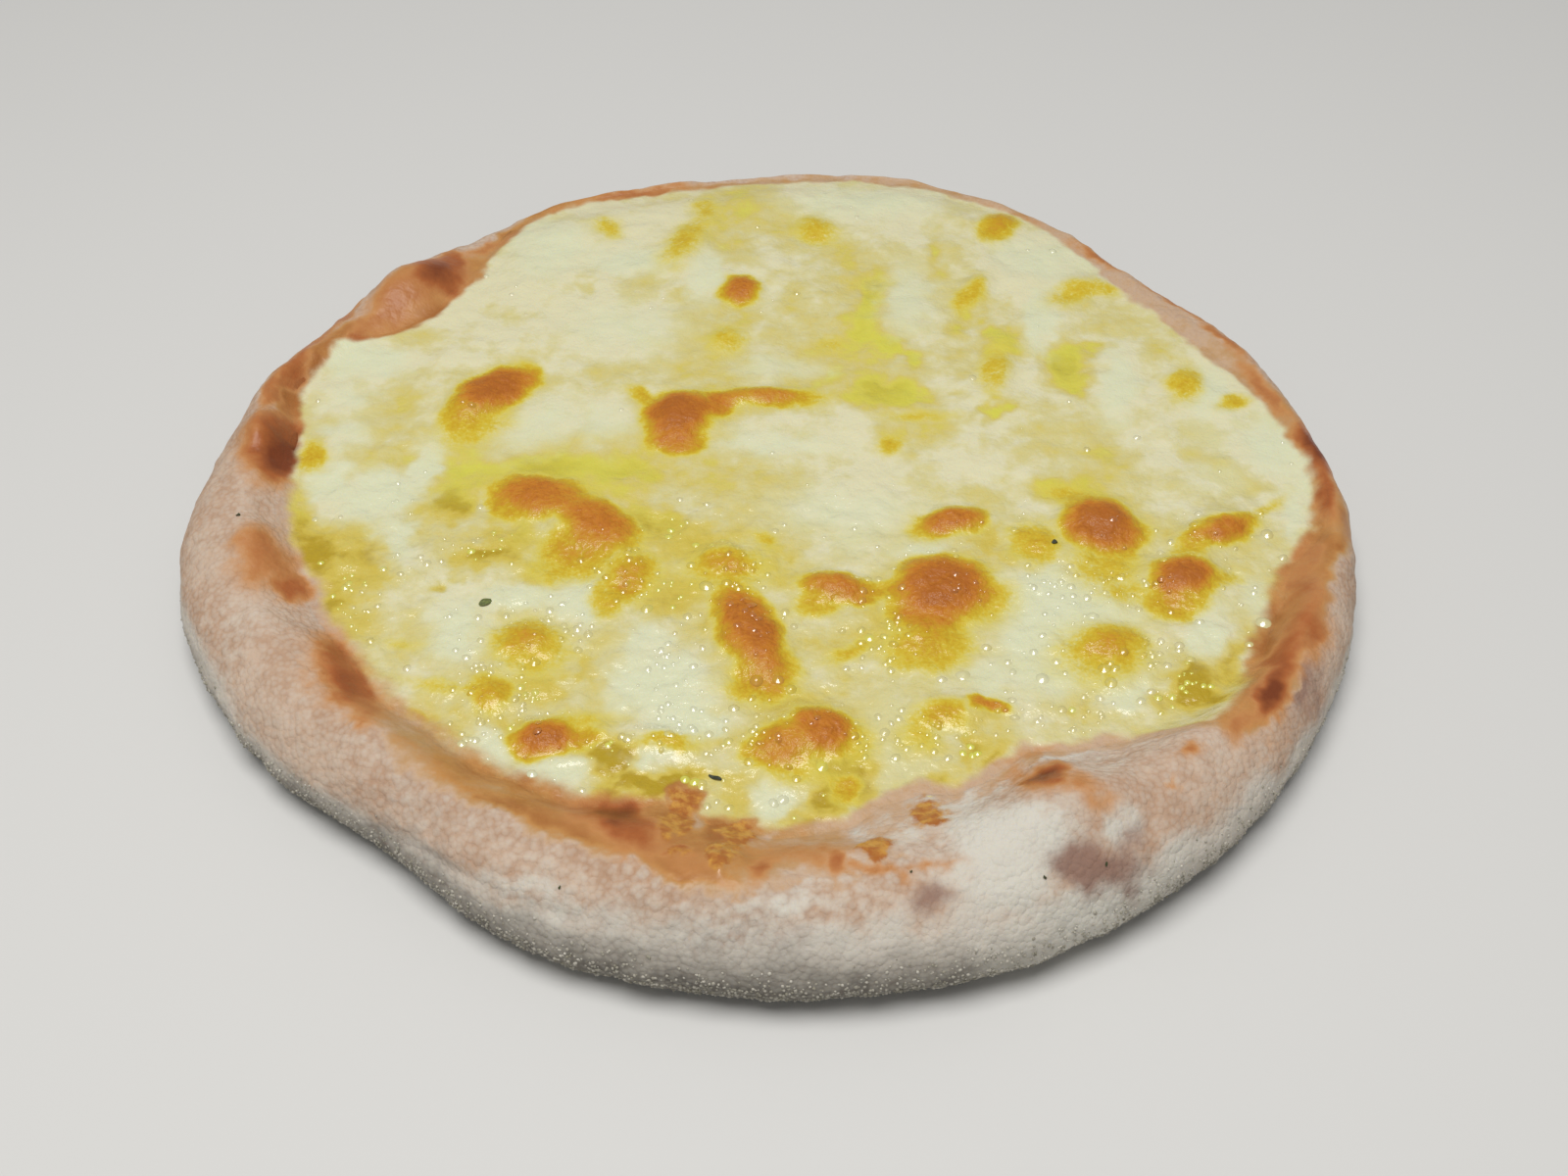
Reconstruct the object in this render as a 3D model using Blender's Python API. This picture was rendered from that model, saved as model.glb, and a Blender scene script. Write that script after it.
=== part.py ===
"""Open cheese sfiha: a round of baked bread dough with a puffed rim, filled with melted, blistered cheese.

Metres, +Z up. The origin is the middle of the underside, and -Y is the front, where the rim is broadest.
A bearing is an angle about +Z in degrees: 0 is +X, the right side, and 90 is +Y, the back.
"""

import math

import bmesh
import bpy
from mathutils import Matrix, Vector, noise

MM = 0.001

# ---- Driving dimensions -------------------------------------------------------------------------------
DOUGH_REACH = 65.0 * MM       # mean radius of the round of dough
FLOOR_HEIGHT = 4.6 * MM       # top of the dough under the cheese
CHEESE_LEVEL = 8.0 * MM       # top of the melted cheese, away from its edge
CHEESE_EDGE = 0.6 * MM        # thickness of the cheese where it runs out on the dough
FIT_GAP = 0.35 * MM           # air kept between the dough and the cheese
BANK_RUN = 5.0 * MM           # how far the dough's bank runs in under the cheese
FOOT_INSET = 0.5              # flat foot's distance in from the outer edge, as a share of the rim's height
WIDEST_SHARE = 0.38           # height of the widest line, as a share of the rim's height
CREST_SHARE = 0.55            # distance of the crest in from the outer edge, as a share of the rim's width
CREST_LIMITS = (1.0 * MM, 8.5 * MM)

# The outline's swells and dents: bearing, half width in degrees, push outwards.
OUTLINE_SWELLS = (
    (-168, 16, 2.3 * MM),
    (-127, 12, -2.7 * MM),
    (-70, 28, 1.5 * MM),
    (12, 14, -1.2 * MM),
    (39, 11, -2.6 * MM),
    (76, 16, 2.4 * MM),
    (118, 20, 0.8 * MM),
    (141, 7, 1.6 * MM),
)
# Width of bare rim between the outer edge and the cheese, every 15 degrees from bearing 0.
RIM_WIDTHS = [w * MM for w in (
    4.5, 5, 6.5, 5, 2.6, 2.4, 2.2, 2.2, 2.6, 8, 10, 5,
    12, 14, 13, 11.5, 11, 15, 15, 17, 18.5, 12.5, 8.5, 6,
)]
# Height of the rim's crest, every 30 degrees from bearing 0.
RIM_HEIGHTS = [h * MM for h in (9, 8.2, 7.3, 7, 7.3, 8.6, 10.4, 11, 11.4, 11.6, 12.2, 10.6)]

# Puffed bubbles in the dough: x, y, length, width, turn in degrees, rise.
RIM_BUBBLES = [
    (x * MM, y * MM, length * MM, width * MM, turn, rise * MM)
    for x, y, length, width, turn, rise in (
        (25, -50, 24, 15, 25, 2.4),      # front right, the largest
        (25.5, -44, 9, 6, -40, 1.2),     # its scorched lip over the cheese
        (-46.5, 36, 19, 15, 40, 2.6),    # back left
        (-59, 6, 11, 8, 80, 1.7),        # left, scorched
        (-55, -14, 13, 9, -60, 1.4),     # left, scorched
        (-44, -30, 17, 8, -42, 1.5),     # front left, along the cheese
        (-18, -50, 20, 8, -18, 1.2),     # front, along the cheese
        (4, -55, 14, 7, 0, 0.9),         # front
        (54, -24, 16, 7, 65, 1.2),       # right, along the cheese
        (50, 27, 18, 7, -55, 1.0),       # back right
    )
]
# Browned blisters in the cheese: x, y, length, width, turn in degrees, rise.
BLISTERS = [
    (x * MM, y * MM, length * MM, width * MM, turn, rise * MM)
    for x, y, length, width, turn, rise in (
        (-35.5, 14, 13, 7, 52, 1.6),
        (-11.5, 10, 11, 9, 60, 1.8),
        (-2.5, 14.3, 13, 3.5, 8, 0.8),
        (-23, -7, 20, 9, -35, 1.7),
        (-16.3, -14.8, 7, 6, 70, 0.9),
        (-6, -13.8, 8, 5, 5, 0.9),
        (5.5, -18.2, 10, 5, 0, 1.2),
        (16.8, -18.2, 12, 9.5, 15, 2.0),
        (15.6, -25, 7, 6, 90, 0.8),
        (-2.8, -26, 14, 7, -64, 1.7),
        (35.5, -7.8, 9.5, 9, 0, 1.8),
        (20, -7.5, 8, 5, 10, 1.0),
        (28, -10.8, 6, 5, 0, 0.7),
        (43.5, -16.5, 10, 8, 30, 1.7),
        (48.5, -8.5, 12, 6, 35, 1.4),
        (34.5, -26, 8, 6, 0, 1.2),
        (42.5, -32.3, 8, 6, 25, 0.8),
        (-26, -26, 8, 6, 0, 1.1),
        (3, -38.5, 11, 8, 12, 1.9),
        (-23, -38.8, 7.5, 5, 10, 1.3),
        (-29, -34, 6, 5, 0, 0.7),
        (-13, -39.5, 11, 4.5, -8, 0.9),
        (-4.8, 36, 6, 6.5, 90, 1.3),
        (-6.7, 25.7, 5.5, 5, 0, 0.8),
        (4.5, 50.5, 7, 6, -20, 0.8),
        (30, 52, 7, 6, 45, 1.0),
        (25, 36, 9, 5, 62, 1.0),
        (27, 21, 14, 5, 85, 0.8),
        (49, 17.5, 6, 6, 90, 0.9),
        (-11.5, 47, 15, 6, 72, 0.9),
        (40, 37.5, 8, 5, 15, 0.8),
        (17.5, -35.5, 9, 5, 15, 0.8),
    )
]
# Drips of cheese baked onto the front of the rim: x, y, length, width, turn in degrees.
DRIPS = [
    (x * MM, y * MM, length * MM, width * MM, turn)
    for x, y, length, width, turn in (
        (-9.3, -50.8, 3.6, 2.8, 70),
        (-9.8, -54.0, 2.6, 2.2, 20),
        (-4.6, -53.2, 4.6, 3.6, 80),
        (-5.6, -57.2, 3.0, 1.3, 85),
        (9.2, -53.3, 3.8, 2.8, 20),
        (14.8, -51.0, 4.2, 3.4, 0),
    )
]
DRIP_RISE = 0.8 * MM

# Low unevenness of hand-worked dough and of set cheese: height, and size of one swell.
DOUGH_UNEVEN = (0.5 * MM, 11 * MM)
CHEESE_UNEVEN = (0.45 * MM, 9 * MM)

# ---- Fineness of the faceted solids --------------------------------------------------------------------
DOUGH_SIDES = 96
FOOT_STATIONS = 2
LOWER_STATIONS = 3
UPPER_STATIONS = 5
INNER_STATIONS = 4
BANK_STATIONS = 2
FLOOR_STATIONS = 2
CHEESE_RINGS = 29
DRIP_SUBDIVISIONS = 2


def smooth(share):
    """A share from 0 to 1, eased at both ends."""
    share = min(1.0, max(0.0, share))
    return share * share * (3 - 2 * share)


def round_the_clock(values, bearing):
    """Smooth value at a bearing, read from values evenly spaced round the circle."""
    count = len(values)
    place = (bearing % 360) / 360 * count
    i = int(place)
    t = place - i
    before, here, there, after = (values[(i + k) % count] for k in (-1, 0, 1, 2))
    return here + 0.5 * t * (
        there - before
        + t * (2 * before - 5 * here + 4 * there - after + t * (3 * (here - there) + after - before))
    )


def bearing_gap(a, b):
    """Difference between two bearings, from -180 to 180."""
    return (a - b + 180) % 360 - 180


def outer_reach(bearing):
    """Distance from the middle to the dough's outermost line."""
    push = sum(
        amount * math.exp(-((bearing_gap(bearing, middle) / half_width) ** 2))
        for middle, half_width, amount in OUTLINE_SWELLS
    )
    return DOUGH_REACH + push


def cheese_reach(bearing):
    """Distance from the middle to the cheese's edge."""
    return outer_reach(bearing) - round_the_clock(RIM_WIDTHS, bearing)


def edge_height(bearing):
    """Height of the dough where the cheese runs out on it."""
    return min(CHEESE_LEVEL - 0.7 * MM, round_the_clock(RIM_HEIGHTS, bearing) - 0.5 * MM)


def mound(x, y, spot):
    """Share of a spot's rise at a point: 1 in its middle, 0 from its outline on."""
    cx, cy, length, width, turn = spot[:5]
    c, s = math.cos(math.radians(turn)), math.sin(math.radians(turn))
    along = ((x - cx) * c + (y - cy) * s) / (length / 2)
    across = ((y - cy) * c - (x - cx) * s) / (width / 2)
    return smooth(1.15 * (1 - math.hypot(along, across)))


def uneven(x, y, amount, seed):
    """Height of the surface's own low swells."""
    height, swell = amount
    return height * noise.noise(Vector((x / swell, y / swell, seed)))


def bank_height(radius, bearing):
    """Height of the dough under the cheese: flat in the middle, then a bank up to the cheese's edge."""
    share = (radius - (cheese_reach(bearing) - BANK_RUN)) / BANK_RUN
    return FLOOR_HEIGHT + (edge_height(bearing) - FLOOR_HEIGHT) * max(0.0, share)


def dough_section(bearing):
    """Radius, height and freedom to be uneven, from the middle of the underside to the middle of the floor."""
    reach = outer_reach(bearing)
    width = round_the_clock(RIM_WIDTHS, bearing)
    height = round_the_clock(RIM_HEIGHTS, bearing)
    foot = reach - FOOT_INSET * height
    widest = WIDEST_SHARE * height
    crest_inset = min(CREST_LIMITS[1], max(CREST_LIMITS[0], CREST_SHARE * width))
    cheese_edge, edge = reach - width, edge_height(bearing)
    points = [(foot * i / FOOT_STATIONS, 0.0, 0.0) for i in range(FOOT_STATIONS + 1)]
    for i in range(1, LOWER_STATIONS + 1):
        turn = math.pi / 2 * i / LOWER_STATIONS
        points.append((foot + (reach - foot) * math.sin(turn), widest * (1 - math.cos(turn)), 0.0))
    for i in range(1, UPPER_STATIONS + 1):
        turn = math.pi / 2 * i / UPPER_STATIONS
        rise = math.sin(turn) ** 0.9
        points.append((
            reach - crest_inset * (1 - math.cos(turn) ** 1.1),
            widest + (height - widest) * rise,
            smooth(rise),
        ))
    for i in range(1, INNER_STATIONS + 1):
        share = i / INNER_STATIONS
        points.append((
            reach - crest_inset - (width - crest_inset) * share,
            height + (edge - height) * share ** 1.7,
            1 - share ** 2,
        ))
    for i in range(1, BANK_STATIONS + 1):
        share = i / BANK_STATIONS
        points.append((cheese_edge - BANK_RUN * share, edge + (FLOOR_HEIGHT - edge) * share, 0.0))
    floor = cheese_edge - BANK_RUN
    points += [(floor * (1 - i / FLOOR_STATIONS), FLOOR_HEIGHT, 0.0) for i in range(1, FLOOR_STATIONS + 1)]
    return points


def dough_top(x, y, height, freedom):
    """Height of a point on the rim, with its bubbles and unevenness."""
    if freedom == 0:
        return height
    bubbles = sum(spot[5] * mound(x, y, spot) for spot in RIM_BUBBLES)
    return height + freedom * (bubbles + uneven(x, y, DOUGH_UNEVEN, 3.0))


def cheese_top(x, y, share, bearing):
    """Height of the cheese at a share of its reach: level in the middle, rounded down at its edge."""
    radius = share * cheese_reach(bearing)
    inset = cheese_reach(bearing) - radius
    edge = edge_height(bearing) + FIT_GAP + CHEESE_EDGE
    shelf = min(CHEESE_LEVEL, edge + 1.1 * MM)
    level = shelf + (CHEESE_LEVEL - shelf) * smooth(inset / (18 * MM))
    height = edge + (level - edge) * math.sqrt(smooth(inset / (3.5 * MM)))
    away = smooth(inset / (2.5 * MM))
    blisters = max(spot[5] * mound(x, y, spot) for spot in BLISTERS)
    return height + away * (blisters + uneven(x, y, CHEESE_UNEVEN, 8.0))


def linked(name, bm, colour, roughness, collection):
    """A named object made from a bmesh, with its own material."""
    mesh = bpy.data.meshes.new(name)
    bm.to_mesh(mesh)
    bm.free()
    mesh.shade_smooth()
    thing = bpy.data.objects.new(name, mesh)
    collection.objects.link(thing)
    material = bpy.data.materials.new(name)
    material.use_nodes = True
    shader = material.node_tree.nodes["Principled BSDF"]
    shader.inputs["Base Color"].default_value = (*colour, 1.0)
    shader.inputs["Roughness"].default_value = roughness
    shader.inputs["Metallic"].default_value = 0.0
    mesh.materials.append(material)
    return thing


def make_dough(collection):
    """The dough: a sphere whose parallels are laid onto the stations of the section at each bearing."""
    stations = len(dough_section(0))
    bm = bmesh.new()
    bmesh.ops.create_uvsphere(bm, u_segments=DOUGH_SIDES, v_segments=stations - 1, radius=1.0)
    for v in bm.verts:
        polar = math.degrees(math.acos(max(-1.0, min(1.0, v.co.z))))
        station = round((180 - polar) / 180 * (stations - 1))
        bearing = math.degrees(math.atan2(v.co.y, v.co.x))
        radius, height, freedom = dough_section(bearing)[station]
        x = radius * math.cos(math.radians(bearing))
        y = radius * math.sin(math.radians(bearing))
        v.co = (x, y, dough_top(x, y, height, freedom))
    return linked("dough", bm, (0.52, 0.36, 0.25), 0.85, collection)


def add_drips(dough, collection):
    """Fuses the baked drips of cheese onto the rim in one union."""
    rim = dough.data
    group = bpy.data.collections.new("drips")
    collection.children.link(group)
    for number, (x, y, length, width, turn) in enumerate(DRIPS):
        hit, place, _, _ = dough.ray_cast(Vector((x, y, 0.1)), Vector((0, 0, -1)))
        bm = bmesh.new()
        bmesh.ops.create_icosphere(bm, subdivisions=DRIP_SUBDIVISIONS, radius=1.0)
        bmesh.ops.scale(bm, verts=bm.verts, vec=(length / 2, width / 2, DRIP_RISE))
        mesh = bpy.data.meshes.new(f"drip_{number}")
        bm.to_mesh(mesh)
        bm.free()
        drip = bpy.data.objects.new(f"drip_{number}", mesh)
        drip.location = place if hit else (x, y, CHEESE_LEVEL)
        drip.rotation_euler.z = math.radians(turn)
        group.objects.link(drip)
    union = dough.modifiers.new("drips", "BOOLEAN")
    union.operation = "UNION"
    union.operand_type = "COLLECTION"
    union.collection = group
    bpy.context.view_layer.update()
    evaluated = dough.evaluated_get(bpy.context.evaluated_depsgraph_get())
    dough.data = bpy.data.meshes.new_from_object(evaluated)
    dough.modifiers.clear()
    bpy.data.meshes.remove(rim)
    for drip in list(group.objects):
        bpy.data.objects.remove(drip)
    bpy.data.collections.remove(group)
    dough.data.shade_smooth()


def make_cheese(collection):
    """The cheese: a hexagonal fan of even triangles made round, thickened down to the dough's bank and floor."""
    bm = bmesh.new()
    corner_on_x = Matrix.Rotation(math.radians(30), 4, "Z")
    bmesh.ops.create_circle(bm, cap_ends=True, cap_tris=True, segments=6, radius=1.0, matrix=corner_on_x)
    bmesh.ops.subdivide_edges(bm, edges=bm.edges, cuts=CHEESE_RINGS - 1, use_grid_fill=True)
    raised = bmesh.ops.extrude_face_region(bm, geom=bm.faces[:])["geom"]
    upper = {v for v in raised if isinstance(v, bmesh.types.BMVert)}
    for v in bm.verts:
        angle = math.degrees(math.atan2(v.co.y, v.co.x)) % 360
        side = int(angle // 60)
        lean = math.radians(angle - 60 * side - 30)
        share = math.hypot(v.co.x, v.co.y) * math.cos(lean) / math.cos(math.radians(30))
        bearing = 60 * (side + 0.5 + math.tan(lean) / (2 * math.tan(math.radians(30))))
        radius = share * cheese_reach(bearing)
        x = radius * math.cos(math.radians(bearing))
        y = radius * math.sin(math.radians(bearing))
        if v in upper:
            v.co = (x, y, cheese_top(x, y, share, bearing))
        else:
            v.co = (x, y, bank_height(radius, bearing) + FIT_GAP)
    return linked("cheese", bm, (0.64, 0.60, 0.28), 0.35, collection)


def main():
    for old in list(bpy.data.objects):
        bpy.data.objects.remove(old)
    sfiha = bpy.data.collections.new("cheese_sfiha")
    bpy.context.scene.collection.children.link(sfiha)
    dough = make_dough(sfiha)
    add_drips(dough, sfiha)
    make_cheese(sfiha)


main()
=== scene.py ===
"""Open cheese sfiha: the look of its baked dough, melted cheese, oil, grains and herbs.

Metres, +Z up. The origin is the middle of the underside, and -Y is the front, where the rim is broadest.
A bearing is an angle about +Z in degrees: 0 is +X, the right side, and 90 is +Y, the back.
"""

import math

import bmesh
import bpy
import numpy as np
from bpy.props import FloatProperty, FloatVectorProperty, IntProperty, PointerProperty
from mathutils import Matrix, Vector, noise
from mathutils.bvhtree import BVHTree


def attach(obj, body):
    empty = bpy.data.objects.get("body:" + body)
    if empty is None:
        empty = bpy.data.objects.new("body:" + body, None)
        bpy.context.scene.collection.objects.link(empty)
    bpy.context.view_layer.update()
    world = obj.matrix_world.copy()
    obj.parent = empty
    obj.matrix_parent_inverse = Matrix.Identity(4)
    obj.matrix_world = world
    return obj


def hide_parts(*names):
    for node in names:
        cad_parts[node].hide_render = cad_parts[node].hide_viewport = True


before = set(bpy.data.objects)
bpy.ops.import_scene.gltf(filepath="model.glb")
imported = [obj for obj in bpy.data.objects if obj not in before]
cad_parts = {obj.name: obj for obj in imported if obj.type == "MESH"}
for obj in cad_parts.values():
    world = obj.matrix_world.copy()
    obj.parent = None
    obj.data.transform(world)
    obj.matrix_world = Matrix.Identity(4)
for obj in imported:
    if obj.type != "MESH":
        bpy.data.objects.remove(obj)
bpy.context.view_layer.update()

bl_info = {
    "name": "Cheese Sfiha",
    "version": (1, 0, 0),
    "blender": (4, 5, 0),
    "location": "3D View > Sidebar > Sfiha",
    "description": "Makes the dough, cheese, drips, oil, grains and herbs of a cheese sfiha, and its stage",
    "category": "Add Mesh",
}

MM = 0.001

# ---- The solids' own dimensions ------------------------------------------------------------------------
DOUGH_REACH = 65.0 * MM
FLOOR_HEIGHT = 4.6 * MM
CHEESE_LEVEL = 8.0 * MM
CHEESE_EDGE = 0.6 * MM
FIT_GAP = 0.35 * MM
BANK_RUN = 5.0 * MM
FOOT_INSET = 0.5
WIDEST_SHARE = 0.38
CREST_SHARE = 0.55
CREST_LIMITS = (1.0 * MM, 6.8 * MM)
# The outline's swells and dents: bearing, half width in degrees, push outwards.
OUTLINE_SWELLS = (
    (-168, 16, 2.3 * MM),
    (-127, 12, -2.7 * MM),
    (-70, 28, 1.5 * MM),
    (12, 14, -1.2 * MM),
    (39, 11, -2.6 * MM),
    (76, 16, 2.4 * MM),
    (118, 20, 0.8 * MM),
    (141, 7, 1.6 * MM),
)
# Width of bare rim between the outer edge and the cheese, every 15 degrees from bearing 0.
RIM_WIDTHS = [w * MM for w in (
    4.5, 5, 6.5, 5, 2.6, 2.4, 2.2, 2.2, 2.6, 8, 10, 5,
    12, 14, 13, 11.5, 11, 15, 15, 17, 18.5, 12.5, 8.5, 6,
)]
# Height of the rim's crest, every 30 degrees from bearing 0.
RIM_HEIGHTS = [h * MM for h in (9, 8.2, 7.3, 7, 7.3, 8.6, 10.4, 11, 11.4, 11.6, 12.2, 10.6)]
DOUGH_UNEVEN = (0.5 * MM, 11 * MM)
CHEESE_UNEVEN = (0.45 * MM, 9 * MM)


def spots(*rows):
    """Spots in metres, from rows of x, y, length, width in millimetres, turn in degrees and strength."""
    return [(x * MM, y * MM, length * MM, width * MM, turn, strength)
            for x, y, length, width, turn, strength in rows]


# Puffed bubbles in the dough; the strength is the rise in millimetres.
RIM_BUBBLES = spots(
    (25, -50, 24, 15, 25, 2.4),
    (25.5, -44, 9, 6, -40, 1.2),
    (-46.5, 36, 19, 15, 40, 2.6),
    (-59, 6, 11, 8, 80, 1.7),
    (-55, -14, 13, 9, -60, 1.4),
    (-44, -30, 17, 8, -42, 1.5),
    (-18, -50, 20, 8, -18, 1.2),
    (4, -55, 14, 7, 0, 0.9),
    (54, -24, 16, 7, 65, 1.2),
    (50, 27, 18, 7, -55, 1.0),
)
# Blisters in the cheese; the strength is the rise in millimetres.
BLISTERS = spots(
    (-35.5, 14, 13, 7, 52, 1.6),
    (-11.5, 10, 11, 9, 60, 1.8),
    (-2.5, 14.3, 13, 3.5, 8, 0.8),
    (-23, -7, 20, 9, -35, 1.7),
    (-16.3, -14.8, 7, 6, 70, 0.9),
    (-6, -13.8, 8, 5, 5, 0.9),
    (5.5, -18.2, 10, 5, 0, 1.2),
    (16.8, -18.2, 12, 9.5, 15, 2.0),
    (15.6, -25, 7, 6, 90, 0.8),
    (-2.8, -26, 14, 7, -64, 1.7),
    (35.5, -7.8, 9.5, 9, 0, 1.8),
    (20, -7.5, 8, 5, 10, 1.0),
    (28, -10.8, 6, 5, 0, 0.7),
    (43.5, -16.5, 10, 8, 30, 1.7),
    (48.5, -8.5, 12, 6, 35, 1.4),
    (34.5, -26, 8, 6, 0, 1.2),
    (42.5, -32.3, 8, 6, 25, 0.8),
    (-26, -26, 8, 6, 0, 1.1),
    (3, -38.5, 11, 8, 12, 1.9),
    (-23, -38.8, 7.5, 5, 10, 1.3),
    (-29, -34, 6, 5, 0, 0.7),
    (-13, -39.5, 11, 4.5, -8, 0.9),
    (-4.8, 36, 6, 6.5, 90, 1.3),
    (-6.7, 25.7, 5.5, 5, 0, 0.8),
    (4.5, 50.5, 7, 6, -20, 0.8),
    (30, 52, 7, 6, 45, 1.0),
    (25, 36, 9, 5, 62, 1.0),
    (27, 21, 14, 5, 85, 0.8),
    (49, 17.5, 6, 6, 90, 0.9),
    (-11.5, 47, 15, 6, 72, 0.9),
    (40, 37.5, 8, 5, 15, 0.8),
    (17.5, -35.5, 9, 5, 15, 0.8),
)
# Drips of cheese baked onto the front of the rim; the strength is how thick and golden they are.
DRIPS = spots(
    (-9, -47.5, 3.6, 3.0, 90, 0.75), (-9.5, -50.8, 4.2, 3.0, 70, 0.66), (-9, -55.3, 3.0, 2.4, -5, 0.40),
    (-3.6, -51.8, 4.8, 3.2, 60, 0.80), (-5, -55.3, 4.6, 2.5, 90, 0.74), (-5, -58, 1.9, 1.2, 85, 0.5),
    (9, -55, 3.4, 2.8, 55, 0.74), (7.2, -55.4, 2.0, 1.5, 35, 0.45), (14, -49.4, 5.0, 3.4, -85, 0.62),
    (15.8, -51.3, 1.9, 1.5, 5, 0.40),
)

# How far the cheese's edge runs out past the solid's, or stays inside it: bearing, distance.
EDGE_RUNS = (
    (-180, 1.3), (-176, 1.8), (-169, 1.7), (-166, 0.9), (-161, -0.1), (-157, 0.2), (-151, -0.2),
    (-145, -0.6), (-139, 0), (-134, 0), (-128, 0.5), (-124, 0.2), (-121, -1.0), (-119, -1.6), (-115, -1.0),
    (-112, -0.5), (-108, -1.0), (-105, -1.4), (-103, -2.2), (-100, -0.8), (-96, -0.9), (-91, -0.2),
    (-86, -0.3), (-82, -0.4), (-78, -2.0), (-73, -1.8), (-70, -0.2), (-66, 0.2), (-62, -0.3), (-59, -1.1),
    (-55, 0), (-50, 0), (-47, 1.4), (-45, 3.0), (-43, 4.3), (-40, 4.0), (-36, 2.6), (-32, 0.6), (-29, -0.3),
    (-25, -0.9), (-19, -2.1), (-15, -2.3), (-12, -0.8), (-9, 0.6), (-2, 1.0), (9, 0.9), (15, 0.4),
    (21, -0.8), (26, -0.7), (33, 0.8), (40, 0.7), (48, 0.6), (64, 0.2), (80, -0.2), (89, -0.6), (102, -0.7),
    (112, -0.6), (120, 0.4), (127, -0.3), (131, -1.1), (137, -3.1), (144, -3.7), (151, -0.3), (156, 3.2),
    (160, 0.9), (171, -1.3), (177, 0.8),
)
OVERLAP = 1.5 * MM        # how far the thin edge of the cheese lies on the dough
UNDER_CHEESE = 0.25 * MM  # how much lower the dough lies there
# How softly the cheese's colour runs out over the dough: bearing, distance.
EDGE_BLENDS = (
    (-178, 2.4), (-165, 2.4), (-145, 3.8), (-132, 4.6), (-112, 4.0), (-95, 2.4), (-75, 2.2), (-52, 1.8),
    (-38, 2.8), (-18, 3.0), (4, 1.8), (20, 1.6), (150, 2.0), (165, 2.4),
)
# How pebbled the crust is beside the toasted band: bearing, share.
PEBBLED = (
    (-165, 0.15), (-145, 0.4), (-128, 0.9), (-85, 1.0), (-62, 0.8), (-45, 0.35), (-25, 0.1),
    (170, 0.1),
)

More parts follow.
